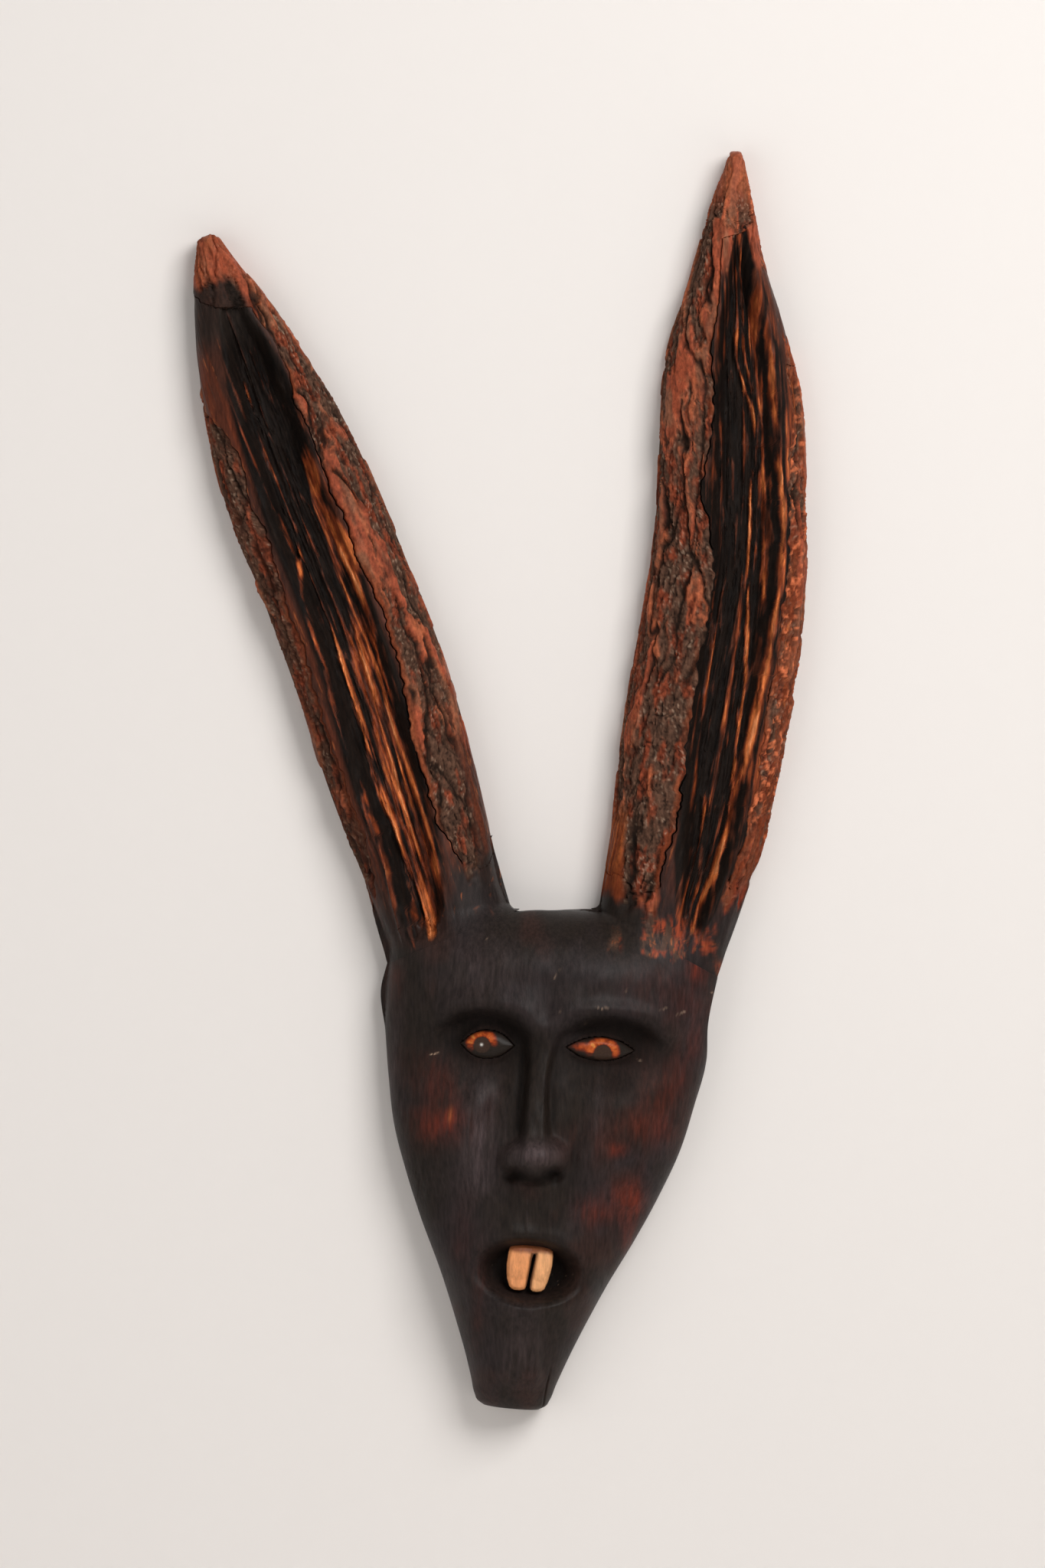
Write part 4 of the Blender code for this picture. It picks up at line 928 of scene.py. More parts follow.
    # Bark, on the strips and on the wood below their feet
    lines = BARK_LINE[side]
    inner = inner_line(ear, s)
    outer = bark_line(ear, "outer", s)
    inner_depth = (p - inner) * ear.inward
    outer_depth = (outer - p) * ear.inward
    foot_in = FOOT_BARK[side] + 12 * wobble(w / 7, seed + 33)
    foot_out = lines["outer_foot"] - 18 + 12 * wobble(w / 6, seed + 34)
    on_inner = rise(inner_depth, 0, 0.02) * rise(true_s, foot_in, 5.0)
    on_outer = rise(outer_depth, 0, 0.02) * rise(true_s, foot_out, 5.0)
    ends_out = smooth_step((lines["outer_head"] + 14 - true_s + 8 * wobble(w / 5, seed + 35)) / 5.0)
    near_tip = smooth_step((true_s - lines["cap"] + 22 + 8 * wobble(w / 6, seed + 36)) / 8.0)
    near_tip = near_tip * rise(np.abs(off), 1.05, 0.2) * (side == "right")
    bark = np.clip(np.maximum(np.maximum(on_inner, on_outer * ends_out), near_tip), 0, 1)
    if side == "left":
        crumbly = 0.20 + 0.55 * fall(true_s, 245, 30) * rise(outer_depth, -0.16, 0.1)
    else:
        crumbly = 0.50 * rise(outer_depth, -0.10, 0.1) * fall(true_s, 130, 30)
    bark_h, bark_paint, bark_rough = bark_look(s, w, seed + 40, crumbly)
    edge_depth = np.maximum(inner_depth, outer_depth)
    skinned = (1 - rise(edge_depth, 0.03, 0.05)) * smooth_step(0.45 + clouds(s / 40, s * 0, seed + 41) * 1.5)
    skinned = skinned * fall(true_s, lines["cap"] - 20, 20)
    bark_paint = tint(
        bark_paint, tint(flat_paint(s.shape, RUST * 0.8), PLATE_ORANGE * 0.8, 0.35 + silk), skinned * 0.85,
    )
    bark_h = mix(bark_h, 0.25 * silk - 0.6, skinned * 0.8)
    if side == "left":
        thin = fall(true_s, 130, 40) * rise(q, 0.78, 0.1)
        bark = bark * (1 - 0.92 * thin)
        shaded = rise(outer_depth, -0.1, 0.1) * fall(true_s, 200, 60)
        bark_paint = bark_paint * (1 - 0.30 * shaded)[..., None]
        worn = rise(outer_depth, -0.1, 0.1) * 0.30
        bark_paint = tint(bark_paint, lip_paint * 1.2, worn * smooth_step(0.5 + mottle(36, 9, 46)))
        char_top = 425.0 - 0.25 * true_t + 4.0 * clouds(true_s / 14, true_t / 4, seed + 42)
        band = fall(true_s, char_top, 8.0) * rise(true_s, 375, 20) * fall(q, 0.62, 0.25)
        bark_paint = tint(bark_paint, CHAR, band * 0.95)
        paint = tint(paint, CHAR, band * 0.85 * (1 - smooth_step(glow - 0.6)))
    else:
        band = np.zeros(s.shape)
        worn = rise(outer_depth, -0.02, 0.1) * 0.65
        bark_paint = tint(
            bark_paint, tint(flat_paint(s.shape, RUST), ORANGE, flecks),
            worn * smooth_step(0.42 + mottle(30, 6, 46)),
        )
        frayed = smooth_step(mottle(3.2, 2.6, 47, 3) * 2.6 - 0.55) * rise(true_s, 40, 60)
        frayed = frayed * rise(outer_depth, -0.02, 0.05) * smooth_step(0.75 + 1.6 * mottle(34, 9, 45))
        bark_paint = tint(bark_paint, PLATE_ORANGE * 1.8, frayed * 0.8)
        bark_h = bark_h + 0.5 * frayed
        raw = fall(true_s, 48, 22) * smooth_step(mottle(12, 7, 48) * 2 + 0.35)
        raw = raw * rise(true_t, -8, 8)
        bark_paint = tint(bark_paint, EMBER * 1.35, raw * 0.7)
        bark_h = bark_h - raw * 0.8
        foot = fall(true_s, 88, 26)
        rim_band = (
            smooth_step(
                (-true_t - 25.5 - 0.03 * (true_s - 60) + 1.2 * clouds(s / 12, w * 0, seed + 49)) / 2.5
            )
            * foot
        )
        smooth_edge = tint(
            flat_paint(s.shape, RUST * 0.8), ORANGE * 0.7, (0.35 + silk) * rise(true_s, 20, 40),
        )
        bark_paint = tint(bark_paint, smooth_edge, rim_band)
        bark_h = mix(bark_h, 0.3 * silk, rim_band)
        slit = bell(true_t + 22.0 - 0.045 * (68 - true_s) + 1.0 * clouds(s / 9, w * 0, seed + 51), 2.6) * foot
        side_slit = bell(true_t - 8.0 - 0.06 * (60 - true_s), 2.2) * foot * rise(true_s, 12, 10)
        bark_paint = tint(bark_paint, TROUGH, np.clip(slit + side_slit, 0, 1) * 0.96)
        bark_h = bark_h - 2.2 * np.clip(slit + side_slit, 0, 1)
    tip_red = smooth_step((true_s - ear.length + 44) / 26) * (1 - band)
    smooth_tip = tint(
        flat_paint(s.shape, PLATE_RED * 1.25), PLATE_ORANGE, smooth_step(0.4 + mottle(18, 5, 44)),
    )
    bark_paint = tint(bark_paint, smooth_tip, tip_red * 0.62)
    bark_h = mix(bark_h, 0.35 * bark_h, tip_red * 0.6)
    height = mix(height, bark_h, bark)
    paint = laid(paint, bark_paint, bark)
    rough = mix(rough, bark_rough, bark)

    # The char of the face creeps up over the feet of both ears
    char_h, char_paint, char_rough = char_look(x, z)
    reach = 15.0 + 13.0 * clouds(x / 11, z / 16, seed + 50)
    if side == "left":
        reach = reach + 34.0 * rise(q, 0.02, 0.35)
    else:
        reach = reach - 6.0
    over = fall(true_s, reach, 14.0)
    over = over * (1 - 0.92 * rise(glow, 0.55, 0.3) * rise(true_s, 1, 6))
    hot = rise(glow, 0.5, 0.3) * rise(s, 1.0, 5.0) * (side == "left")
    low_reach = (12.0 if side == "left" else 22.0) + 6.0 * clouds(x / 5, z / 9, seed + 53)
    over = np.maximum(over, fall(s, low_reach, 13.0) * (1 - 0.92 * hot))
    if side == "left":
        orange_scratch = smooth_step(clouds(x / 1.6, z / 9, seed + 52) * 3 - 1.75) * rise(true_s, 8, 12)
        char_paint = tint(char_paint, ORANGE, orange_scratch * 0.6)
    paint = laid(paint, char_paint, over)
    rough = mix(rough, char_rough, over)
    if side == "right":
        ember, ember_paint = foot_ember(x, z)
        paint = laid(paint, ember_paint, ember * 0.92 * smooth_step(over * 1.5))
        height = mix(height, char_h + height * 0.35, over * (1 - 0.75 * ember))
    else:
        height = mix(height, char_h + height * 0.35, over)
    landing = rise(s, 0, 12.0)
    height = mix(char_h, height, landing)
    return height, paint, rough


# Meshes: how near points merge and what counts as no edge at all, in metres
MERGE = 2e-6
NO_EDGE = 1e-7
# Rows of nearly equal-sided triangles: their spacing, and how near a loop's line they come, in steps
ROW_GAP = 0.87
LINE_GAP = 0.45


def normals_of(grid, outward):
    along = np.gradient(grid, axis=0)
    across = np.gradient(grid, axis=1)
    normal = np.cross(along, across)
    normal = normal / np.maximum(np.linalg.norm(normal, axis=-1, keepdims=True), 1e-9)
    if np.sum(normal * outward) < 0:
        normal = -normal
    return normal


def linked(name, data):
    made = bpy.data.objects.new(name, data)
    bpy.context.scene.collection.objects.link(made)
    return made


class Shell:
    """A closed mesh put together from grids, with a paint and a roughness at each point."""

    def __init__(self):
        self.points, self.paint, self.rough, self.faces = [], [], [], []
        self.count = 0

    def add(self, points, paint, rough):
        points = np.asarray(points, float)
        shape = points.shape[:-1]
        self.points.append(points.reshape(-1, 3))
        self.paint.append(np.broadcast_to(paint, shape + (3,)).reshape(-1, 3))
        self.rough.append(np.broadcast_to(rough, shape).reshape(-1))
        index = np.arange(self.count, self.count + int(np.prod(shape))).reshape(shape)
        self.count += index.size
        return index

    def quads(self, index):
        square = np.stack([index[:-1, :-1], index[:-1, 1:], index[1:, 1:], index[1:, :-1]], -1).reshape(-1, 4)
        self.faces += square.tolist()

    def band(self, one, other):
        self.quads(np.stack([np.asarray(one), np.asarray(other)]))

    def hoop(self, one, other):
        """Quads between two closed rings."""
        self.band(np.append(one, one[0]), np.append(other, other[0]))

    def object(self, name, material, sharp=40.0):
        mesh = bpy.data.meshes.new(name)
        points = np.concatenate(self.points) * MM
        mesh.from_pydata(points.tolist(), [], self.faces)
        paint = np.concatenate(self.paint)
        tone = mesh.attributes.new("paint", "FLOAT_COLOR", "POINT")
        tone.data.foreach_set("color", np.concatenate([paint, np.ones((len(paint), 1))], 1).ravel())
        worn = mesh.attributes.new("worn", "FLOAT", "POINT")
        worn.data.foreach_set("value", np.concatenate(self.rough))
        shape = bmesh.new()
        shape.from_mesh(mesh)
        bmesh.ops.remove_doubles(shape, verts=shape.verts, dist=MERGE)
        bmesh.ops.dissolve_degenerate(shape, edges=shape.edges, dist=NO_EDGE)
        bmesh.ops.recalc_face_normals(shape, faces=shape.faces)
        shape.to_mesh(mesh)
        shape.free()
        for face in mesh.polygons:
            face.use_smooth = True
        mesh.set_sharp_from_angle(angle=math.radians(sharp))
        mesh.materials.append(material)
        return linked(name, mesh)


def inside_loop(points, loop):
    """Which points lie inside a closed loop."""
    found = np.zeros(len(points), bool)
    count = len(loop)
    for k in range(count):
        x0, z0 = loop[k]
        x1, z1 = loop[(k + 1) % count]
        if z0 == z1:
            continue
        crossing = (points[:, 1] > z0) != (points[:, 1] > z1)
        at = (x1 - x0) * (points[:, 1] - z0) / (z1 - z0) + x0
        found ^= crossing & (points[:, 0] < at)
    return found


def spread(loop, step, margin):
    """Points in rows inside a loop, none nearer its line than the margin."""
    low, high = loop.min(0), loop.max(0)
    rows = []
    for k, z in enumerate(np.arange(low[1], high[1], step * ROW_GAP)):
        x = np.arange(low[0] + (k % 2) * step / 2, high[0], step)
        rows.append(np.stack([x, np.full(len(x), z)], 1))
    points = np.concatenate(rows)
    points = points[inside_loop(points, loop)]
    ends = np.roll(loop, -1, 0)
    line = ends - loop
    long = np.maximum((line**2).sum(1), 1e-12)
    keep = np.ones(len(points), bool)
    for k in range(len(loop)):
        share = np.clip(((points - loop[k]) @ line[k]) / long[k], 0, 1)
        keep &= np.hypot(*(points - loop[k] - share[:, None] * line[k]).T) > margin
    return points[keep]


def cover(shell, ring, look, step, holes=()):
    """Fills the loop `ring` (indices and x, z) with triangles; each hole gets walls and its own floor."""
    index, loop = ring
    inner = spread(loop, step, step * LINE_GAP)
    for hole in holes:
        inner = inner[~inside_loop(inner, hole["loop"] + (hole["loop"] - hole["loop"].mean(0)) * 0.02)]
    loops = [loop] + [hole["loop"] for hole in holes]
    inside = [hole["points"] for hole in holes]
    points = np.concatenate(loops + inside + [inner])
    edges, start = [], 0
    for one in loops:
        edges += [(start + k, start + (k + 1) % len(one)) for k in range(len(one))]
        start += len(one)
    result = delaunay_2d_cdt([Vector(p) for p in points.tolist()], edges, [], 1, 1e-5)
    made, triangles = np.array([tuple(v) for v in result[0]]), [tuple(f) for f in result[2]]
    origin = result[3]
    centres = np.array([made[list(f)].mean(0) for f in triangles])
    zone = np.full(len(triangles), -1)
    zone[inside_loop(centres, loop)] = 0
    for k, hole in enumerate(holes):
        zone[inside_loop(centres, hole["loop"])] = k + 1
    top = np.full(len(made), -1)
    for k, whence in enumerate(origin):
        for old in whence:
            if old < len(loop):
                top[k] = index[old]
    levels = [dict() for _ in range(len(holes) + 1)]

    def corner_of(k, level):
        if level == 0 and top[k] >= 0:
            return int(top[k])
        if k not in levels[level]:
            spot = made[k]
            use = look if level == 0 else holes[level - 1]["look"]
            y, paint, rough = use(spot[0], spot[1])
            levels[level][k] = int(shell.add(np.array([[spot[0], y, spot[1]]]), paint, rough)[0])
        return levels[level][k]

    for f, level in zip(triangles, zone):
        if level >= 0:
            shell.faces.append([corner_of(k, level) for k in f])
    for number, hole in enumerate(holes):
        owner = {}
        start = len(loop) + sum(len(h["loop"]) for h in holes[:number])
        for k, whence in enumerate(origin):
            for old in whence:
                owner[old] = k
        keys = [owner[start + k] for k in range(len(hole["loop"]))]
        for one, other in zip(keys, keys[1:] + keys[:1]):
            if one != other:
                shell.faces.append(
                    [
                        corner_of(one, 0), corner_of(other, 0), corner_of(other, number + 1),
                        corner_of(one, number + 1),
                    ]
                )


def finer(loop, step, least):
    """The closed loop with each side cut into equal steps."""
    points = []
    for a, b in zip(loop, np.roll(loop, -1, 0)):
        count = max(int(np.hypot(*(b - a)) / step), least)
        points += [a + (b - a) * i / count for i in range(count)]
    return np.array(points)


def round_loop(at, half_x, half_z, count, lean=0.0):
    turn = 2 * np.pi * np.arange(count) / count
    x, z = half_x * np.cos(turn), half_z * np.sin(turn)
    return np.stack(
        [at[0] + x * math.cos(lean) + z * math.sin(lean), at[1] - x * math.sin(lean) + z * math.cos(lean)], 1,
    )


def back_look(x, z):
    """Sawn and planed back of the wood, its tone varying in broad clouds."""
    saw = (
        0.10 * noise(np.array(x / 3.1), np.array(z / 60.0), 611)
        + 0.12 * noise(np.array(x / 19.0), np.array(z / 23.0), 613)
    )
    stain = float(clouds(np.array(x / 34.0), np.array(z / 60.0), 617))
    paint = mix(BARE, BARE_DARK, min(max(0.45 + 0.6 * stain, 0.0), 1.0))
    return -BACK_GAP + float(saw), paint, 0.72


def hole_look(depth, shade):
    return lambda x, z: (-depth, shade, 0.7)


# Procedural surface materials: fine grain over the paint held by each point
FINE_ROUGH = 0.22


def nodes_of(name):
    made = bpy.data.materials.new(name)
    made.use_nodes = True
    tree = made.node_tree
    return made, tree, tree.nodes["Principled BSDF"]


def add_node(tree, kind, *inputs, **values):
    """A node with its inputs, by place or by name, set to values or linked to sockets, and its properties."""
    node = tree.nodes.new(kind)
    for key, value in list(values.items()) + list(enumerate(inputs)):
        if isinstance(key, str) and key not in node.inputs:
            setattr(node, key, value)
        elif isinstance(value, bpy.types.NodeSocket):
            tree.links.new(value, node.inputs[key])
        else:
            node.inputs[key].default_value = value
    return node


def dress(tree, shader, normal, values):
    """Bump, colour and finish on the shader."""
    tree.links.new(normal.outputs["Normal"], shader.inputs["Normal"])
    for key, value in values.items():
        if isinstance(value, bpy.types.NodeSocket):
            tree.links.new(value, shader.inputs[key])
        else:
            shader.inputs[key].default_value = value


def painted(name, stretch, grain, fine, bump, depth, specular=0.5, coat=0.0, coat_rough=0.3, contrast=0.42):
    """Paint from the points, grain drawn along the wood, and a relief too fine for the mesh."""
    made, tree, shader = nodes_of(name)
    place = add_node(tree, "ShaderNodeTexCoord").outputs["Object"]
    drawn = add_node(tree, "ShaderNodeMapping", Vector=place, Scale=stretch).outputs["Vector"]
    paint = add_node(tree, "ShaderNodeAttribute", attribute_name="paint").outputs["Color"]
    worn = add_node(tree, "ShaderNodeAttribute", attribute_name="worn").outputs["Fac"]
    coarse = add_node(tree, "ShaderNodeTexNoise", Vector=drawn, Scale=grain, Detail=6.0, Roughness=0.62)
    small = add_node(tree, "ShaderNodeTexNoise", Vector=drawn, Scale=fine, Detail=4.0, Roughness=0.7)
    coarse, small = coarse.outputs["Fac"], small.outputs["Fac"]
    ramp = add_node(
        tree, "ShaderNodeMapRange", Value=coarse,
        **{"From Min": 0.32, "From Max": 0.70, "To Min": 1 - contrast, "To Max": 1 + contrast},
    )
    shade = add_node(
        tree, "ShaderNodeMix", data_type="RGBA", blend_type="MULTIPLY", Factor=1.0, A=paint,
        B=ramp.outputs["Result"],
    )
    lower = add_node(tree, "ShaderNodeMath", worn, FINE_ROUGH / 2, operation="SUBTRACT")
    rough = add_node(
        tree, "ShaderNodeMath", small, FINE_ROUGH, lower.outputs["Value"], operation="MULTIPLY_ADD"
    )
    both = add_node(tree, "ShaderNodeMath", coarse, small, operation="ADD")
    relief = add_node(tree, "ShaderNodeBump", Strength=bump, Distance=depth, Height=both.outputs["Value"])
    dress(tree, shader, relief, {
        "Base Color": shade.outputs["Result"], "Roughness": rough.outputs["Value"],
        "Specular IOR Level": specular, "Coat Weight": coat, "Coat Roughness": coat_rough,
    })
    return made


def metal(name, shade, rough, scale):
    """Plated steel: cloudy crystal patches and dull spots."""
    made, tree, shader = nodes_of(name)
    place = add_node(tree, "ShaderNodeTexCoord").outputs["Object"]
    patches = add_node(tree, "ShaderNodeTexVoronoi", Vector=place, Scale=scale)
    cloudy = add_node(tree, "ShaderNodeTexNoise", Vector=place, Scale=scale * 3, Detail=5.0).outputs["Fac"]
    ramp = add_node(tree, "ShaderNodeValToRGB", Fac=cloudy)
    dark, light = ramp.color_ramp.elements
    dark.position, light.position = 0.3, 0.68
    dark.color, light.color = (*[c * 0.55 for c in shade], 1), (*shade, 1)
    dull = add_node(
        tree, "ShaderNodeMapRange", Value=patches.outputs["Distance"],
        **{"To Min": rough - 0.1, "To Max": rough + 0.15},
    )
    relief = add_node(tree, "ShaderNodeBump", Strength=0.25, Distance=0.00005, Height=cloudy)
    dress(tree, shader, relief, {
        "Base Color": ramp.outputs["Color"], "Roughness": dull.outputs["Result"], "Metallic": 1.0,
    })
    return made


def peg_material():
    """End grain of a dowel: rings of darker wood and open pores."""
    made, tree, shader = nodes_of("peg_wood_look")
    place = add_node(tree, "ShaderNodeTexCoord").outputs["Object"]
    rings = add_node(
        tree, "ShaderNodeTexWave", Vector=place, wave_type="RINGS", rings_direction="Y", Scale=260.0,
        Distortion=3.0, **{"Detail Scale": 2.0},
    )
    pores = add_node(tree, "ShaderNodeTexNoise", Vector=place, Scale=1400.0, Detail=3.0).outputs["Fac"]
    ramp = add_node(tree, "ShaderNodeValToRGB", Fac=rings.outputs["Fac"])
    ramp.color_ramp.elements[0].color = (0.42, 0.26, 0.14, 1)
    ramp.color_ramp.elements[1].color = (0.26, 0.14, 0.07, 1)
    shade = add_node(
        tree, "ShaderNodeMix", data_type="RGBA", blend_type="MULTIPLY", Factor=0.6,
        A=ramp.outputs["Color"], B=pores,
    )
    relief = add_node(tree, "ShaderNodeBump", Strength=0.4, Distance=0.0002, Height=pores)
    dress(tree, shader, relief, {"Base Color": shade.outputs["Result"], "Roughness": 0.7})
    return made


CHARRED = painted("charred_wood_look", (1.0, 1.0, 0.18), 520.0, 1600.0, 0.4, 0.00025, specular=0.13)
SCORCHED = painted("scorched_wood_look", (1.0, 1.0, 0.18), 520.0, 1600.0, 0.4, 0.00025, specular=0.13)
BARKED = painted("bark_look", (1.0, 1.0, 0.6), 520.0, 1900.0, 0.6, 0.0004, specular=0.12)
TOOTH = painted("pale_wood_look", (1.0, 1.0, 0.16), 900.0, 2600.0, 0.2, 0.0001, specular=0.35, contrast=0.16)
EYE = painted(
    "amber_inlay_look", (1.0, 1.0, 1.0), 900.0, 2400.0, 0.12, 0.0001, 0.12, 0.06, 0.2, contrast=0.18,
)


# Face block
def dense(low, high, count, spots):
    """Stations from low to high, closer together round each spot (place, reach, strength)."""
    fine = np.linspace(low, high, 2000)
    weight = np.ones_like(fine)
    for at, reach, strength in spots:
        weight += strength * bell(fine - at, reach)
    total = np.concatenate([[0], np.cumsum((weight[1:] + weight[:-1]) / 2)])
    return np.interp(np.linspace(0, total[-1], count), total, fine)


HEAD_COLUMNS, HEAD_ROWS = 251, 331
# Where rows and columns lie closer: place, reach and strength
SPOTS_ACROSS = [(-1, 0.10, 2.6), (1, 0.10, 2.6), (-0.36, 0.22, 0.7), (0.33, 0.25, 0.7), (0, 0.2, 0.7)]
SPOTS_UP = [
    (221.0 / 303, 0.06, 1.3), (146.0 / 303, 0.05, 1.2), (82.0 / 303, 0.07, 0.8), (0.0, 0.02, 1.0),
    (1.0, 0.03, 2.5),
]


def head_grid():
    across = dense(
        -1, 1, HEAD_COLUMNS,
        SPOTS_ACROSS,
    )
    across = np.sin(across * np.pi / 2) * 0.35 + across * 0.65
    up_share = dense(0, 1, HEAD_ROWS, SPOTS_UP)
    left_up = up_share * CORNERS["left"][0][1]
    right_up = up_share * CORNERS["right"][1][1]
    lx, lz = head_point(-through(SIDE_LEFT, left_up) * HEAD_WIDTH / 2, left_up * HEAD_HEIGHT)
    rx, rz = head_point(through(SIDE_RIGHT, right_up) * HEAD_WIDTH / 2, right_up * HEAD_HEIGHT)
    share = ((across + 1) / 2)[None, :]
    x = lx[:, None] * (1 - share) + rx[:, None] * share
    z = lz[:, None] * (1 - share) + rz[:, None] * share
    spots = [LEFT.left_foot, LEFT.right_foot, RIGHT.left_foot, RIGHT.right_foot]
    columns = np.arange(HEAD_COLUMNS)
    near = [int(np.argmin(np.abs(across - m))) for m in (-0.28, 0.24)]
    marks = [0, near[0], near[1], HEAD_COLUMNS - 1]
    top_x = np.interp(columns, marks, [p[0] for p in spots])
    top_z = np.interp(columns, marks, [p[1] for p in spots])
    middle = (columns > marks[1]) & (columns < marks[2])
    wave = (
        0.5 * wobble(top_x / 11.0, 131) * smooth_step((columns - marks[1]) / 12.0)
        * smooth_step((marks[2] - columns) / 12.0)
    )
    top_z = top_z + np.where(middle, wave, 0.0)
    bend = (up_share**4)[:, None]
    x = x + bend * (top_x - x[-1])[None, :]
    z = z + bend * (top_z - z[-1])[None, :]
    return x, z


# Down the block's sides: share of the depth, and how far the edge is rounded in
SIDE_STEPS = [(0.25, 0.0), (0.5, 0.0), (0.75, 0.0), (0.90, 0.15), (0.97, 0.6), (1.0, 1.4)]


def ring_of(index):
    return np.concatenate([index[0, :], index[1:, -1], index[-1, -2::-1], index[-2:0:-1, 0]])


def face_block():
    x, z = head_grid()
    height, paint, rough = face_look(x, z)
    depth = plain_front(x, z) + height
    depth = np.maximum(depth, 8.0)
    shell = Shell()
    grid = np.stack([x, -depth, z], -1)
    index = shell.add(grid, paint, rough)
    shell.quads(index)
    ring = ring_of(index)
    flat = np.concatenate(shell.points)
    rim = flat[ring]
    centre = np.array([float(rim[:, 0].mean()), float(rim[:, 2].mean())])
    ahead = np.roll(rim, -1, 0) - np.roll(rim, 1, 0)
    outward = np.stack([ahead[:, 2], -ahead[:, 0]], 1)
    outward = outward / np.maximum(np.linalg.norm(outward, axis=1, keepdims=True), 1e-9)
    if np.sum(outward * (rim[:, [0, 2]] - centre)) < 0:
        outward = -outward
    on_top = np.zeros(len(ring), bool)
    on_top[HEAD_COLUMNS - 1 + HEAD_ROWS - 1 : HEAD_COLUMNS - 1 + HEAD_ROWS - 1 + HEAD_COLUMNS] = True
    run = np.concatenate([[0], np.cumsum(np.linalg.norm(np.diff(rim[:, [0, 2]], axis=0), axis=1))])
    last = ring
    _, rim_paint, rim_rough = char_look(rim[:, 0], rim[:, 2])
    for share, inset in SIDE_STEPS:
        y = rim[:, 1] * (1 - share) - BACK_GAP * share
        swell = 0.35 * clouds(run / 22, y / 9, 141) * (4 * share * (1 - share)) * np.where(on_top, 0.0, 1.0)
        place = rim[:, [0, 2]] + outward * (swell - inset * np.where(on_top, 0.3, 1.0))[:, None]
        shade = tint(rim_paint, BARE_DARK * 0.5, np.full(len(ring), rise(share, 0.93, 0.1) * 0.8))
        now = shell.add(np.stack([place[:, 0], y, place[:, 1]], -1), shade, rim_rough + 0.08)
        shell.hoop(last, now)
        last = now
    loop = np.stack([place[:, 0], place[:, 1]], 1)
    hx, hz = head_point(0.0, HOLLOW_MIDDLE * HEAD_HEIGHT)
    at = (float(hx), float(hz))

    def hollow_depth(px, pz):
        dx, dz = px - at[0], pz - at[1]
        u = dx * math.cos(HEAD_TILT) - dz * math.sin(HEAD_TILT)
        v = dx * math.sin(HEAD_TILT) + dz * math.cos(HEAD_TILT)
        r = min(math.hypot(u / HOLLOW_HALF[0], v / HOLLOW_HALF[1]), 1.0)
        gap, who, _ = cells(np.array([v]), np.array([u + 0.13 * v]), 22.0, 13.0, 151)
        scoop = 1.2 * float(smooth_step(gap[0] / 4.0)) * min(1.0, (1 - r) * 8)
        dark = 0.45 + 0.5 * float(who[0])
        # Painted shade: darker near the scoops' borders, where the hollow is cut deeper between them
        paint = mix(BARE * 0.8, BARE_DARK * 0.6, dark) * (0.75 + 0.2 * min(float(gap[0]) / 5.0, 1.0))
        return -(HOLLOW_DEPTH * math.sqrt(max(1 - r * r, 0.0)) + 0.3) + scoop - BACK_GAP, paint, 0.75

    wide, high = HOLLOW_HALF
    hollow = round_loop(at, wide, high, HOLLOW_SIDES, HEAD_TILT)
    inner = []
    for k in range(1, HOLLOW_RINGS):
        reach = math.cos(k / HOLLOW_RINGS * math.pi / 2)
        inner.append(round_loop(at, wide * reach, high * reach, max(int(HOLLOW_SIDES * reach), 6), HEAD_TILT))
    inner.append(np.array([at]))
    holes = [{"loop": hollow, "points": np.concatenate(inner), "look": hollow_depth}]
    for ear in (LEFT, RIGHT):
        spot = ear.point(-TENON_LENGTH * 0.55, 0.0)
        peg = round_loop(spot, PEG_HOLE_RADIUS, PEG_HOLE_RADIUS, 28)
        # Painted shade: the peg hole's floor is painted dark
        floor = hole_look(PEG_HOLE_DEPTH, BARE_DARK * 0.4)
        holes.append({"loop": peg, "points": np.array([spot]), "look": floor})
    cover(shell, (last, loop), back_look, BACK_STEP, holes)
    return shell.object("carved_face", CHARRED, 50.0)


# Ears and bark
EAR_ROWS = 400
HALF_SAMPLES = 80
MOST_ROUND = 90
# Columns under the outer bark, over the channel and under the inner bark, and half the step between them
OUTER_COLUMNS, CHANNEL_COLUMNS, INNER_COLUMNS = 26, 128, 38
BARK_STEP = 0.006
STRIP_COLUMNS = {"inner": 84, "outer": 44}


def stations(ear):
    lines = BARK_LINE[ear.side]
    extra = []
    for place in (lines["inner_foot"], lines["outer_foot"], lines["outer_head"]):
        extra += [place - 0.25, place + 0.25]
    extra += np.linspace(lines["cap"] - 1.0, lines["cap"] + CAP_SWEEP + 1.0, 34).tolist()
    even = np.linspace(0, ear.length - EAR_TIP, EAR_ROWS)
    turn = np.linspace(0, np.pi / 2, 9)[1:]
    tip = ear.length - EAR_TIP + EAR_TIP * np.sin(turn)
    near_foot = np.linspace(0, 8, 7)[1:-1]
    return np.unique(np.round(np.concatenate([even, extra, tip, near_foot]), 3))


def sheet_measure(ear, s, p):
    """Distance round the ear's skin in mm from its middle, for textures that don't stretch."""
    fine = np.linspace(-1 - WALL, 1 + WALL, 2 * HALF_SAMPLES + 1)
    points = ear.skin(s[:, None], fine[None, :], 0.0)
    steps = np.linalg.norm(np.diff(points, axis=1), axis=2)
    run = np.concatenate([np.zeros((len(s), 1)), np.cumsum(steps, 1)], 1)
    run = run - run[:, HALF_SAMPLES : HALF_SAMPLES + 1]
    run = np.clip(run, -MOST_ROUND, MOST_ROUND)
    out = np.empty(p.shape)
    for j in range(len(s)):
        out[j] = np.interp(p[j], fine, run[j])
    return out


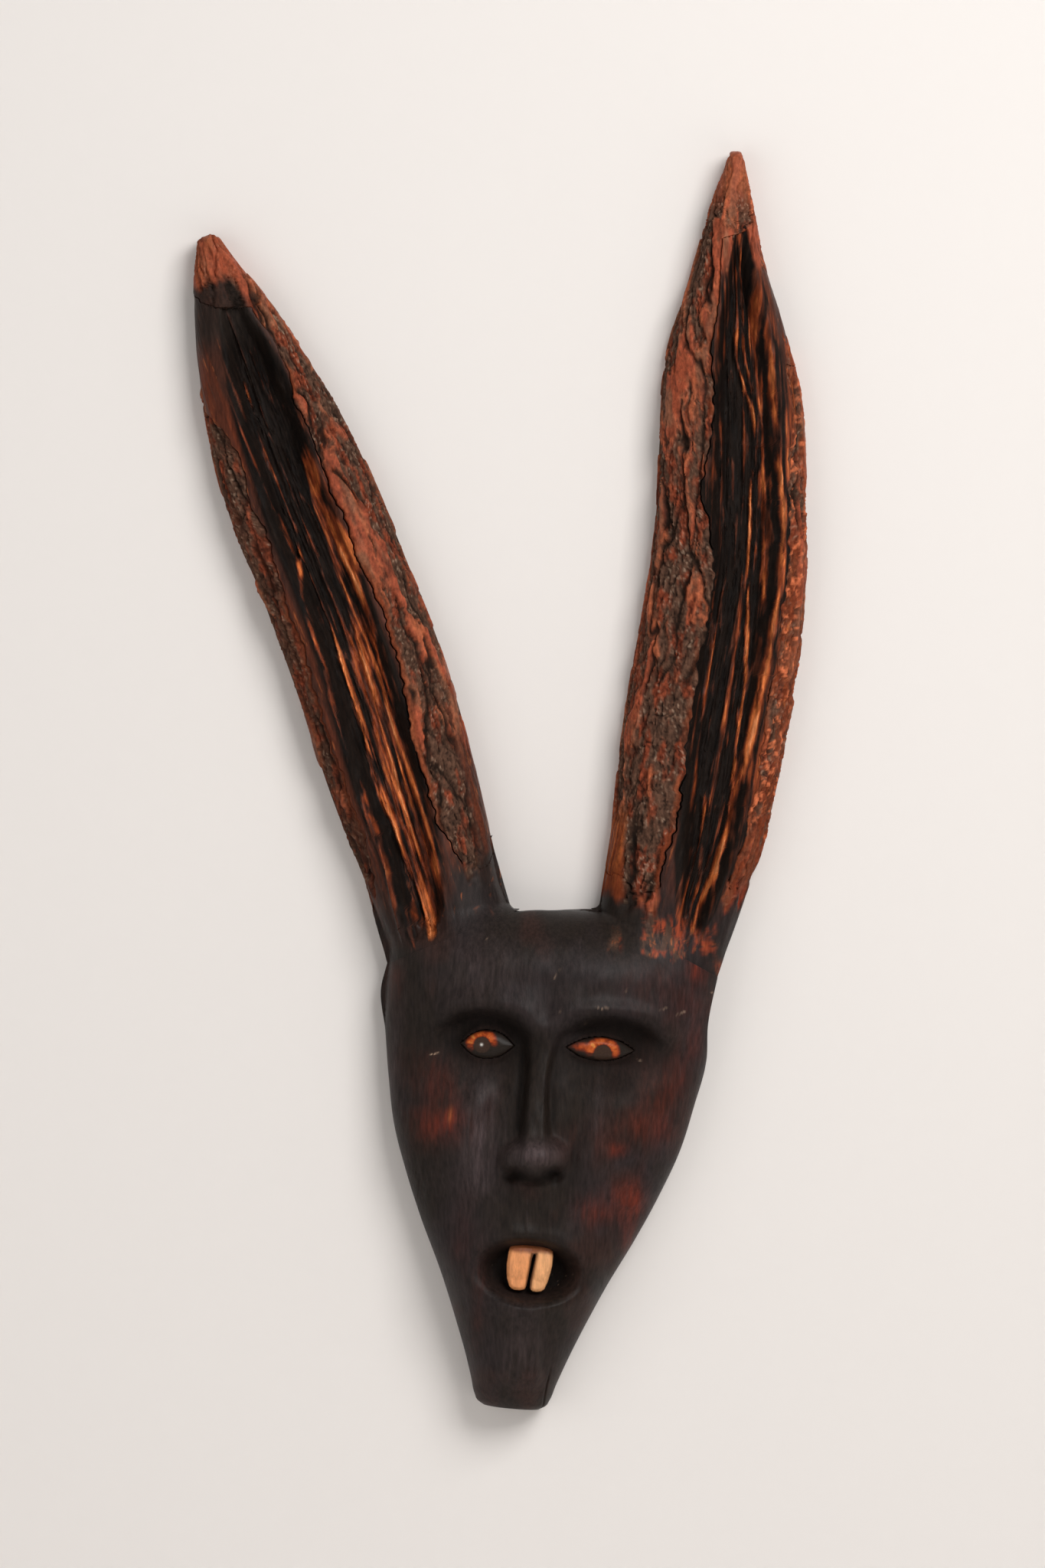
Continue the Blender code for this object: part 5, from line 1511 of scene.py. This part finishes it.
def ear_wood(ear):
    lines = BARK_LINE[ear.side]
    s = stations(ear)
    inner = bark_line(ear, "inner", s)
    outer = bark_line(ear, "outer", s)
    low_line, high_line = (outer, inner) if ear.inward > 0 else (inner, outer)
    first, last = (OUTER_COLUMNS, INNER_COLUMNS) if ear.inward > 0 else (INNER_COLUMNS, OUTER_COLUMNS)
    parts = (
        (-1 - WALL, low_line - BARK_STEP, first),
        (low_line + BARK_STEP, high_line - BARK_STEP, CHANNEL_COLUMNS),
        (high_line + BARK_STEP, 1 + WALL, last),
    )
    columns = []
    for low, high, count in parts:
        share = np.linspace(0, 1, count)[None, :]
        low = np.broadcast_to(low, s.shape)[:, None]
        high = np.broadcast_to(high, s.shape)[:, None]
        columns.append(low + (high - low) * share)
    p = np.concatenate(columns, 1)
    station = np.broadcast_to(s[:, None], p.shape)
    base = ear.skin(station, p, BACK_GAP)
    w = sheet_measure(ear, s, p)
    outward = base - np.stack([*ear_axis(ear, station)], -1)
    normal = normals_of(base, outward)
    height, paint, rough = ear_look(ear, station, p, w, base[..., 0], base[..., 2])
    swept = inner_line(ear, s)[:, None]
    wave = foot_wave(p)
    under_inner = (
        ((p - swept) * ear.inward > np.where(station > lines["cap"], 0.03, 0.0))
        & (station > lines["inner_foot"] + wave + 1.5)
    )
    under_outer = ((outer[:, None] - p) * ear.inward > 0) & (station > lines["outer_foot"] + wave + 1.5)
    under_outer = under_outer & (station < lines["outer_head"])
    covered = (under_inner | under_outer) & (base[..., 1] < -BARK_BACK + 0.4)
    edge_fade = smooth_step((-base[..., 1] - 0.6) / 4.0)
    sunk = np.where(covered, -(BARK + BARK_GAP), height * edge_fade)
    paint = np.where(covered[..., None], TROUGH, paint)
    grid = base + normal * sunk[..., None]
    grid[..., 1] = np.minimum(grid[..., 1], -BACK_GAP)
    grid[:, [0, -1], 1] = -BACK_GAP
    tip = grid[-1].mean(0)
    grid[-1] = np.array([tip[0], -BACK_GAP, tip[2]])
    shell = Shell()
    index = shell.add(grid, paint, rough)
    shell.quads(index)
    shell.faces.append(index[0].tolist())
    rim = np.concatenate([index[:-1, 0], [index[-1, 0]], index[-2::-1, -1]])
    flat = np.concatenate(shell.points)[rim]
    hook_s = -ear.foot[1] / ear.along[1]
    low, high = ear.edges(hook_s)
    hook_x, _ = ear.point(hook_s, float(low + high) / 4)
    pin_z = -(RING_REACH - RING_WIRE) * math.cos(RING_LEAN)
    half = RING_HALF + RING_WIRE + POCKET_MARGIN
    low, high = pin_z - POCKET_DOWN, pin_z + RING_REACH + RING_WIRE + POCKET_MARGIN
    box = [(-half, low), (half, low), (half, high), (-half, high)]
    loop = finer(np.array(box), 3.0, 2) + np.array([hook_x, 0.0])

    def pocket_look(px, pz):
        _, paint, rough = back_look(px, pz)
        ripple = 0.12 * float(noise(np.array(px / 2.2), np.array(pz / 9.0), 631))
        # Painted shade: the pocket's floor is painted darker than the back
        return -POCKET_DEPTH + ripple, paint * 0.75, rough

    pocket = {"loop": loop, "points": spread(loop, 3.0, 1.4), "look": pocket_look}
    cover(shell, (rim, flat[:, [0, 2]]), back_look, BACK_STEP, [pocket])
    return shell.object(f"{ear.side}_ear_wood", SCORCHED, 55.0)


def ear_axis(ear, station):
    low, high = ear.edges(np.maximum(station, ear.settle))
    x, z = ear.point(station, (low + high) / 2)
    return x, np.full(station.shape, -5.0), z


def bark_strip(ear, which):
    """A skin of bark: its torn outer side, a plain inner side and the broken edge between them."""
    lines = BARK_LINE[ear.side]
    s = stations(ear)
    way = ear.inward if which == "inner" else -ear.inward
    if which == "inner":
        s = s[s > lines["inner_foot"]]
    else:
        s = s[(s > lines["outer_foot"]) & (s < lines["outer_head"])]
    columns = STRIP_COLUMNS[which]
    start = (inner_line(ear, s) if which == "inner" else bark_line(ear, which, s)) + way * 0.012
    start = np.clip(start, -1 - WALL, 1 + WALL)
    share = np.linspace(0, 1, columns)[None, :]
    p = start[:, None] + (way * (1 + WALL) - start[:, None]) * share
    station = s[:, None] + foot_wave(p) * np.clip(1 - (s - s[0]) / 40.0, 0, 1)[:, None]
    base = ear.skin(station, p, BARK_BACK)
    w = sheet_measure(ear, s, p)
    outward = base - np.stack([*ear_axis(ear, station)], -1)
    normal = normals_of(base, outward)
    height, paint, rough = ear_look(ear, station, p, w, base[..., 0], base[..., 2])
    height = np.clip(height, -BARK + 0.9, 3.0)
    rim = np.minimum(share, 1 - share) * columns
    rows = np.arange(len(s))[:, None] / 4.0
    ragged = np.clip(np.minimum(rim / 3.0, rows), 0, 1)
    height = mix(-1.2, height, np.sqrt(ragged))
    front = base + normal * height[..., None]
    front[..., 1] = np.minimum(front[..., 1], -BARK_BACK)
    inside = base - normal * BARK
    inside[..., 1] = np.minimum(inside[..., 1], -BARK_BACK)
    if which == "inner":
        for sheet in (front, inside):
            tip = sheet[-1].mean(0)
            sheet[-1] = np.array([tip[0], min(tip[1], -BARK_BACK), tip[2]])
        inside[-1] = inside[-1] - np.array([ear.along[0], 0, ear.along[1]]) * BARK
    shell = Shell()
    one = shell.add(front, paint, rough)
    two = shell.add(inside, TROUGH, 0.8)
    shell.quads(one)
    shell.quads(two)
    shell.band(one[0], two[0])
    shell.band(one[:, 0], two[:, 0])
    shell.band(one[:, -1], two[:, -1])
    if which == "outer":
        shell.band(one[-1], two[-1])
    return shell.object(f"{ear.side}_ear_{which}_bark", BARKED, 80.0)


# Teeth and eyes
TEETH_AT = (0.025, 0.287)
TEETH_THICK = 12.0
TEETH_OUTLINE = [
    (0.0, 14.0), (-6.1875, 13.86), (-11.0, 13.02), (-12.7875, 11.62), (-13.3375, 8.4), (-13.75, 1.4),
    (-13.3375, -3.5), (-12.65, -7.7), (-11.0, -11.76), (-9.625, -13.16), (-7.7, -14.0), (-4.95, -14.0),
    (-3.025, -13.65), (-1.6, -13.02), (-0.8, -11.76), (-0.3, -8.4), (1.2, 6.0), (1.8, 8.4), (2.6, 8.9),
    (3.3, 8.2), (3.0, 5.0), (1.4, -8.4), (1.5, -11.76), (2.3, -13.02), (3.3, -13.79), (6.1875, -14.0),
    (8.525, -13.44), (10.45, -11.76), (12.1, -7.0), (13.0625, -2.1), (13.75, 2.8), (13.75, 8.68),
    (13.3375, 11.48), (11.275, 13.02), (6.875, 13.79),
]
TOOTH_LEFT = colour(0.74, 0.30, 0.115)
TOOTH_RIGHT = colour(0.78, 0.38, 0.165)
TOOTH_BAND = colour(0.22, 0.05, 0.016)
TOOTH_DARKENED = colour(0.035, 0.012, 0.006)
TOOTH_FLECK = colour(0.16, 0.05, 0.02)
TOOTH_SIDE = colour(0.10, 0.034, 0.013)
TOOTH_BACK = colour(0.05, 0.018, 0.008)


def front_teeth():
    """Two long teeth cut from one block, parted by a slot, with darker paint along it and round their
    outline.
    """
    low_corner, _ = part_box("front_teeth")
    front_y = low_corner.y / MM
    back_y = front_y + TEETH_THICK
    tx, tz = head_point(TEETH_AT[0] * HEAD_WIDTH / 2, TEETH_AT[1] * HEAD_HEIGHT)
    outline = finer(np.array(TEETH_OUTLINE), 0.45, 1)
    c, s = math.cos(HEAD_TILT), math.sin(HEAD_TILT)
    turned = np.stack(
        [tx + outline[:, 0] * c + outline[:, 1] * s, tz - outline[:, 0] * s + outline[:, 1] * c], 1,
    )
    ends = np.roll(turned, -1, 0)

    def edge_distance(x, z):
        line = ends - turned
        share = np.clip(
            ((np.array([x, z]) - turned) * line).sum(1) / np.maximum((line**2).sum(1), 1e-12), 0, 1,
        )
        return float(np.hypot(*(np.array([x, z]) - turned - share[:, None] * line).T).min())

    def look(x, z):
        dx, dz = x - tx, z - tz
        a, b = dx * c - dz * s, dx * s + dz * c
        near = edge_distance(x, z)
        roll = 1.5 * math.sqrt(max(1 - min(near / 1.9, 1.0), 0.0)) ** 2
        bow = 1.3 * (1 - (abs(a - 1.0) - 7.5) ** 2 / 60.0) - 0.018 * (b - 4) ** 2
        grain = 0.10 * float(noise(np.array(a / 1.1), np.array(b / 9.0), 701))
        y = front_y + 1.35 - max(bow, -1.2) + roll - grain
        flecks = float(smooth_step(clouds(np.array(a / 0.42), np.array(b / 1.7), 703, 2) * 3.0 - 1.7))
        band = float(smooth_step((b - 8.2 + 0.8 * noise(np.array(a / 3), np.array(0.0), 705)) / 2.6))
        paint = mix(TOOTH_LEFT, TOOTH_RIGHT, float(rise(a, -1.0, 5.0)))
        paint = paint * (1 + 0.16 * float(clouds(np.array(a / 2.1), np.array(b / 8), 707)))
        paint = mix(paint, TOOTH_BAND, band * 0.82)
        # Darker paint beside the gap between the teeth and round the block's outline
        slot = abs(a - (0.3 + 0.085 * (b + 14))) if b < 9.5 else 9.0
        darkened = float(fall(slot, 2.6, 1.4))
        darkened = max(darkened, float(fall(near, 0.55, 0.5)) * 0.75)
        paint = mix(paint, TOOTH_DARKENED, darkened * 0.85)
        paint = mix(paint, TOOTH_FLECK, flecks * 0.12)
        return min(y, back_y - 1.0), paint, 0.46

    shell = Shell()
    x, z = turned[:, 0], turned[:, 1]
    rim_looks = [look(px, pz) for px, pz in turned]
    top = shell.add(np.stack([x, [r[0] for r in rim_looks], z], -1), np.array([r[1] for r in rim_looks]), 0.5)
    low = shell.add(np.stack([x, np.full(len(x), back_y), z], -1), TOOTH_BACK, 0.6)
    mid_y = np.array([r[0] for r in rim_looks]) * 0.6 + back_y * 0.4
    middle = shell.add(np.stack([x, mid_y, z], -1), TOOTH_SIDE, 0.6)
    shell.hoop(top, middle)
    shell.hoop(middle, low)
    cover(shell, (top, turned), look, 0.55)
    cover(shell, (low, turned), lambda px, pz: (back_y, TOOTH_BACK, 0.6), 3.0)
    return shell.object("long_front_teeth", TOOTH, 60.0)


EYE_SIDES, EYE_RINGS = 112, 40
EYE_INSET = 0.985
# Down the inlay's side: share of its outline, and mm below its rim
EYE_SIDE_STEPS = [(0.985, 1.2), (0.95, 3.0)]
EYE_DARK = colour(0.017, 0.012, 0.009)
PUPIL = colour(0.042, 0.022, 0.014)
GLINT = colour(0.75, 0.72, 0.66)
# Iris colours, brightened by painted light on the iris's lit side: each from where its glow starts, how fast
# it comes in and how far
IRIS_GLOW = [
    (colour(0.26, 0.036, 0.008), 0.0, 2.2, 1.0),
    (colour(0.44, 0.085, 0.017), 0.30, 2.0, 1.0),
    (colour(0.62, 0.25, 0.06), 0.80, 3.0, 0.7),
]


def eye_piece(side):
    """A polished oval inlay with a painted iris under its varnish; the iris is brightened by painted light on
    one side, and the left eye has a painted glint.
    """
    eye = EYES[side]
    (at_a, at_b), (half_a, half_b) = eye["eye_at"], eye["eye_half"]
    turn = 2 * np.pi * np.arange(EYE_SIDES) / EYE_SIDES
    reach = np.linspace(0, 1, EYE_RINGS)[:, None]
    u = np.cos(turn)
    v = np.sin(turn)
    edge = np.ones(EYE_SIDES)
    for _ in range(30):
        value = almond(at_a + u * edge * half_a, at_b + v * edge * half_b, eye)
        edge = edge / np.maximum(value, 0.05) ** 0.5
    edge = edge * EYE_INSET
    a = at_a + reach * (u * edge)[None, :] * half_a
    b = at_b + reach * (v * edge)[None, :] * half_b
    x, z = head_point(a, b)
    surface = plain_front(x, z) + face_relief(a, b) + EYE_SEAT * (1 - rise(almond(a, b, eye), 0.95, 0.06))
    dome_up = 1.3 * np.sqrt(np.maximum(1 - reach**2.4, 0.0)) - 0.3
    depth = surface + dome_up
    hole, lit = eye["pupil"], eye["lit"]
    da, db = a - eye["iris"][0], b - eye["iris"][1]
    far = np.hypot(da, db)
    # Painted light: the iris's colour shows only on the side towards lit and is brightened there, and the
    # right eye gets a painted smear of the same light
    facing = (da * lit[0] + db * lit[1]) / np.maximum(far, 0.3)
    ring = rise(far, hole, 1.6) * fall(far, eye["reach"], 4.0)
    rays = (
        0.75 + 0.45 * clouds(np.arctan2(db, da) * 4, far / 4, 741)
        + 0.2 * noise(np.arctan2(db, da) * 14, far / 2, 743)
    )
    glow = ring * rise(facing, -0.55, 1.1) * rays
    if side == "right":
        smear = blot((a - 21.5) / 6.0, (b - 223.2) / 2.4)
        glow = glow + 0.7 * smear * rays
    paint = flat_paint(a.shape, EYE_DARK)
    paint = tint(paint, PUPIL, (1 - rise(far, hole, 1.0)) * 0.9)
    for shade, start, gain, most in IRIS_GLOW:
        paint = tint(paint, shade, smooth_step((glow - start) * gain) * most)
    paint = tint(paint, TROUGH * 1.4, rise(reach, 0.78, 0.22) * 0.8)
    if side == "left":
        glint = bell(np.hypot(da + 0.2, db - 0.1), 0.75)
        paint = tint(paint, GLINT, glint)
    shell = Shell()
    index = shell.add(np.stack([x, -depth, z], -1), paint, 0.46)
    closed = np.concatenate([index, index[:, :1]], 1)
    shell.quads(closed)
    last = index[-1]
    for share, drop in EYE_SIDE_STEPS:
        bx, bz = head_point(at_a + share * (a[-1] - at_a), at_b + share * (b[-1] - at_b))
        now = shell.add(np.stack([bx, -(depth[-1] - drop), bz], -1), TROUGH, 0.5)
        shell.hoop(last, now)
        last = now
    shell.faces.append(last.tolist())
    return shell.object(f"{side}_eye_inlay", EYE, 60.0)


def stand_in(piece, slot, *nodes):
    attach(piece, "mask")
    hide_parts(*nodes)


stand_in(face_block(), "charred_wood", "face_block")
for ear in (LEFT, RIGHT):
    stand_in(ear_wood(ear), "scorched_wood", f"{ear.side}_ear")
    stand_in(bark_strip(ear, "inner"), "bark", f"{ear.side}_ear_bark_inner")
    stand_in(bark_strip(ear, "outer"), "bark", f"{ear.side}_ear_bark_outer")
    stand_in(eye_piece(ear.side), "amber_inlay", f"{ear.side}_eye")
stand_in(front_teeth(), "pale_wood", "front_teeth")

# Carried-over hardware keeps its shape and gets its finish
ZINC = metal("zinc_plate_look", (0.62, 0.62, 0.60), 0.34, 420.0)
SCREW = metal("screw_steel_look", (0.50, 0.49, 0.47), 0.36, 700.0)
PEG = peg_material()
for side in ("left", "right"):
    for node, finish in (
        (f"{side}_hanger_strap", ZINC),
        (f"{side}_hanger_ring", ZINC),
        (f"{side}_hanger_screw", SCREW),
        (f"{side}_ear_peg", PEG),
    ):
        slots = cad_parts[node].data.materials
        if len(slots) == 0:
            slots.append(finish)
        for k in range(len(slots)):
            slots[k] = finish


# Wall, floor, light and camera
def backdrop(name, corners, shade, rough):
    """A plane seen from its front only, and no bar to light."""
    made, tree, shader = nodes_of(name + "_paint")
    shader.inputs["Base Color"].default_value = (*shade, 1)
    shader.inputs["Roughness"].default_value = rough
    shader.inputs["Specular IOR Level"].default_value = 0.2
    clear = add_node(tree, "ShaderNodeBsdfTransparent").outputs["BSDF"]
    behind = add_node(tree, "ShaderNodeNewGeometry").outputs["Backfacing"]
    shadow = add_node(tree, "ShaderNodeLightPath").outputs["Is Shadow Ray"]
    either = add_node(tree, "ShaderNodeMath", behind, shadow, operation="MAXIMUM").outputs["Value"]
    choose = add_node(tree, "ShaderNodeMixShader", either, shader.outputs["BSDF"], clear)
    tree.links.new(choose.outputs["Shader"], tree.nodes["Material Output"].inputs["Surface"])
    mesh = bpy.data.meshes.new(name)
    mesh.from_pydata(corners, [], [(0, 1, 2, 3)])
    mesh.materials.append(made)
    plane = linked(name, mesh)
    return plane


# Metres: the floor's height, and the wall just behind the wall plane
FLOOR, FLOOR_HALF = -0.93, 9
WALL_Y, WALL_HALF, WALL_TOP = 0.001, 4, 3.2
backdrop(
    "wall",
    [(x, WALL_Y, z) for x, z in (
        (-WALL_HALF, FLOOR), (WALL_HALF, FLOOR), (WALL_HALF, WALL_TOP), (-WALL_HALF, WALL_TOP)
    )],
    (0.83, 0.795, 0.765), 0.9,
)
backdrop(
    "floor",
    [(x * FLOOR_HALF, y * FLOOR_HALF, FLOOR) for x, y in ((-1, -1), (1, -1), (1, 1), (-1, 1))],
    (0.80, 0.78, 0.76), 0.9,
)


def lamp(name, at, aim, size, power, shade):
    light = bpy.data.lights.new(name, "AREA")
    light.shape = "RECTANGLE"
    light.size = light.size_y = size
    light.energy = power
    light.color = shade
    made = linked(name, light)
    made.location = at
    made.rotation_euler = (Vector(aim) - Vector(at)).to_track_quat("-Z", "Y").to_euler()
    made.visible_camera = False
    return made


AIM = (0.0, 0.0, -0.03)
# Place, size, watts and colour
for name, at, size, power, shade in (
    ("key", (1.05, -1.9, 1.15), 1.3, 46.0, (1.0, 0.985, 0.975)),
    ("fill", (-1.6, -2.0, -0.1), 1.8, 10.5, (1.0, 0.985, 0.98)),
    ("back_fill", (0.3, 2.2, 0.6), 1.6, 20.0, (1.0, 0.985, 0.975)),
):
    lamp(name, at, AIM, size, power, shade)

world = bpy.data.worlds.new("studio")
world.use_nodes = True
sky = world.node_tree.nodes["Background"].inputs
sky["Color"].default_value = (1.0, 0.99, 0.985, 1)
sky["Strength"].default_value = 0.24
bpy.context.scene.world = world
bpy.context.scene.view_settings.view_transform = "Standard"
bpy.context.scene.view_settings.look = "None"

# A long lens square to the wall, as in the photograph
FOCAL = 135.0
CAMERA_AT = (-0.0081, -3.586, -0.0307)
lens = bpy.data.cameras.new("camera")
lens.lens = FOCAL
lens.sensor_fit = "VERTICAL"
lens.sensor_height = 36.0
camera = linked("camera", lens)
camera.location = CAMERA_AT
camera.rotation_euler = (math.pi / 2, 0.0, 0.0)
bpy.context.scene.camera = camera
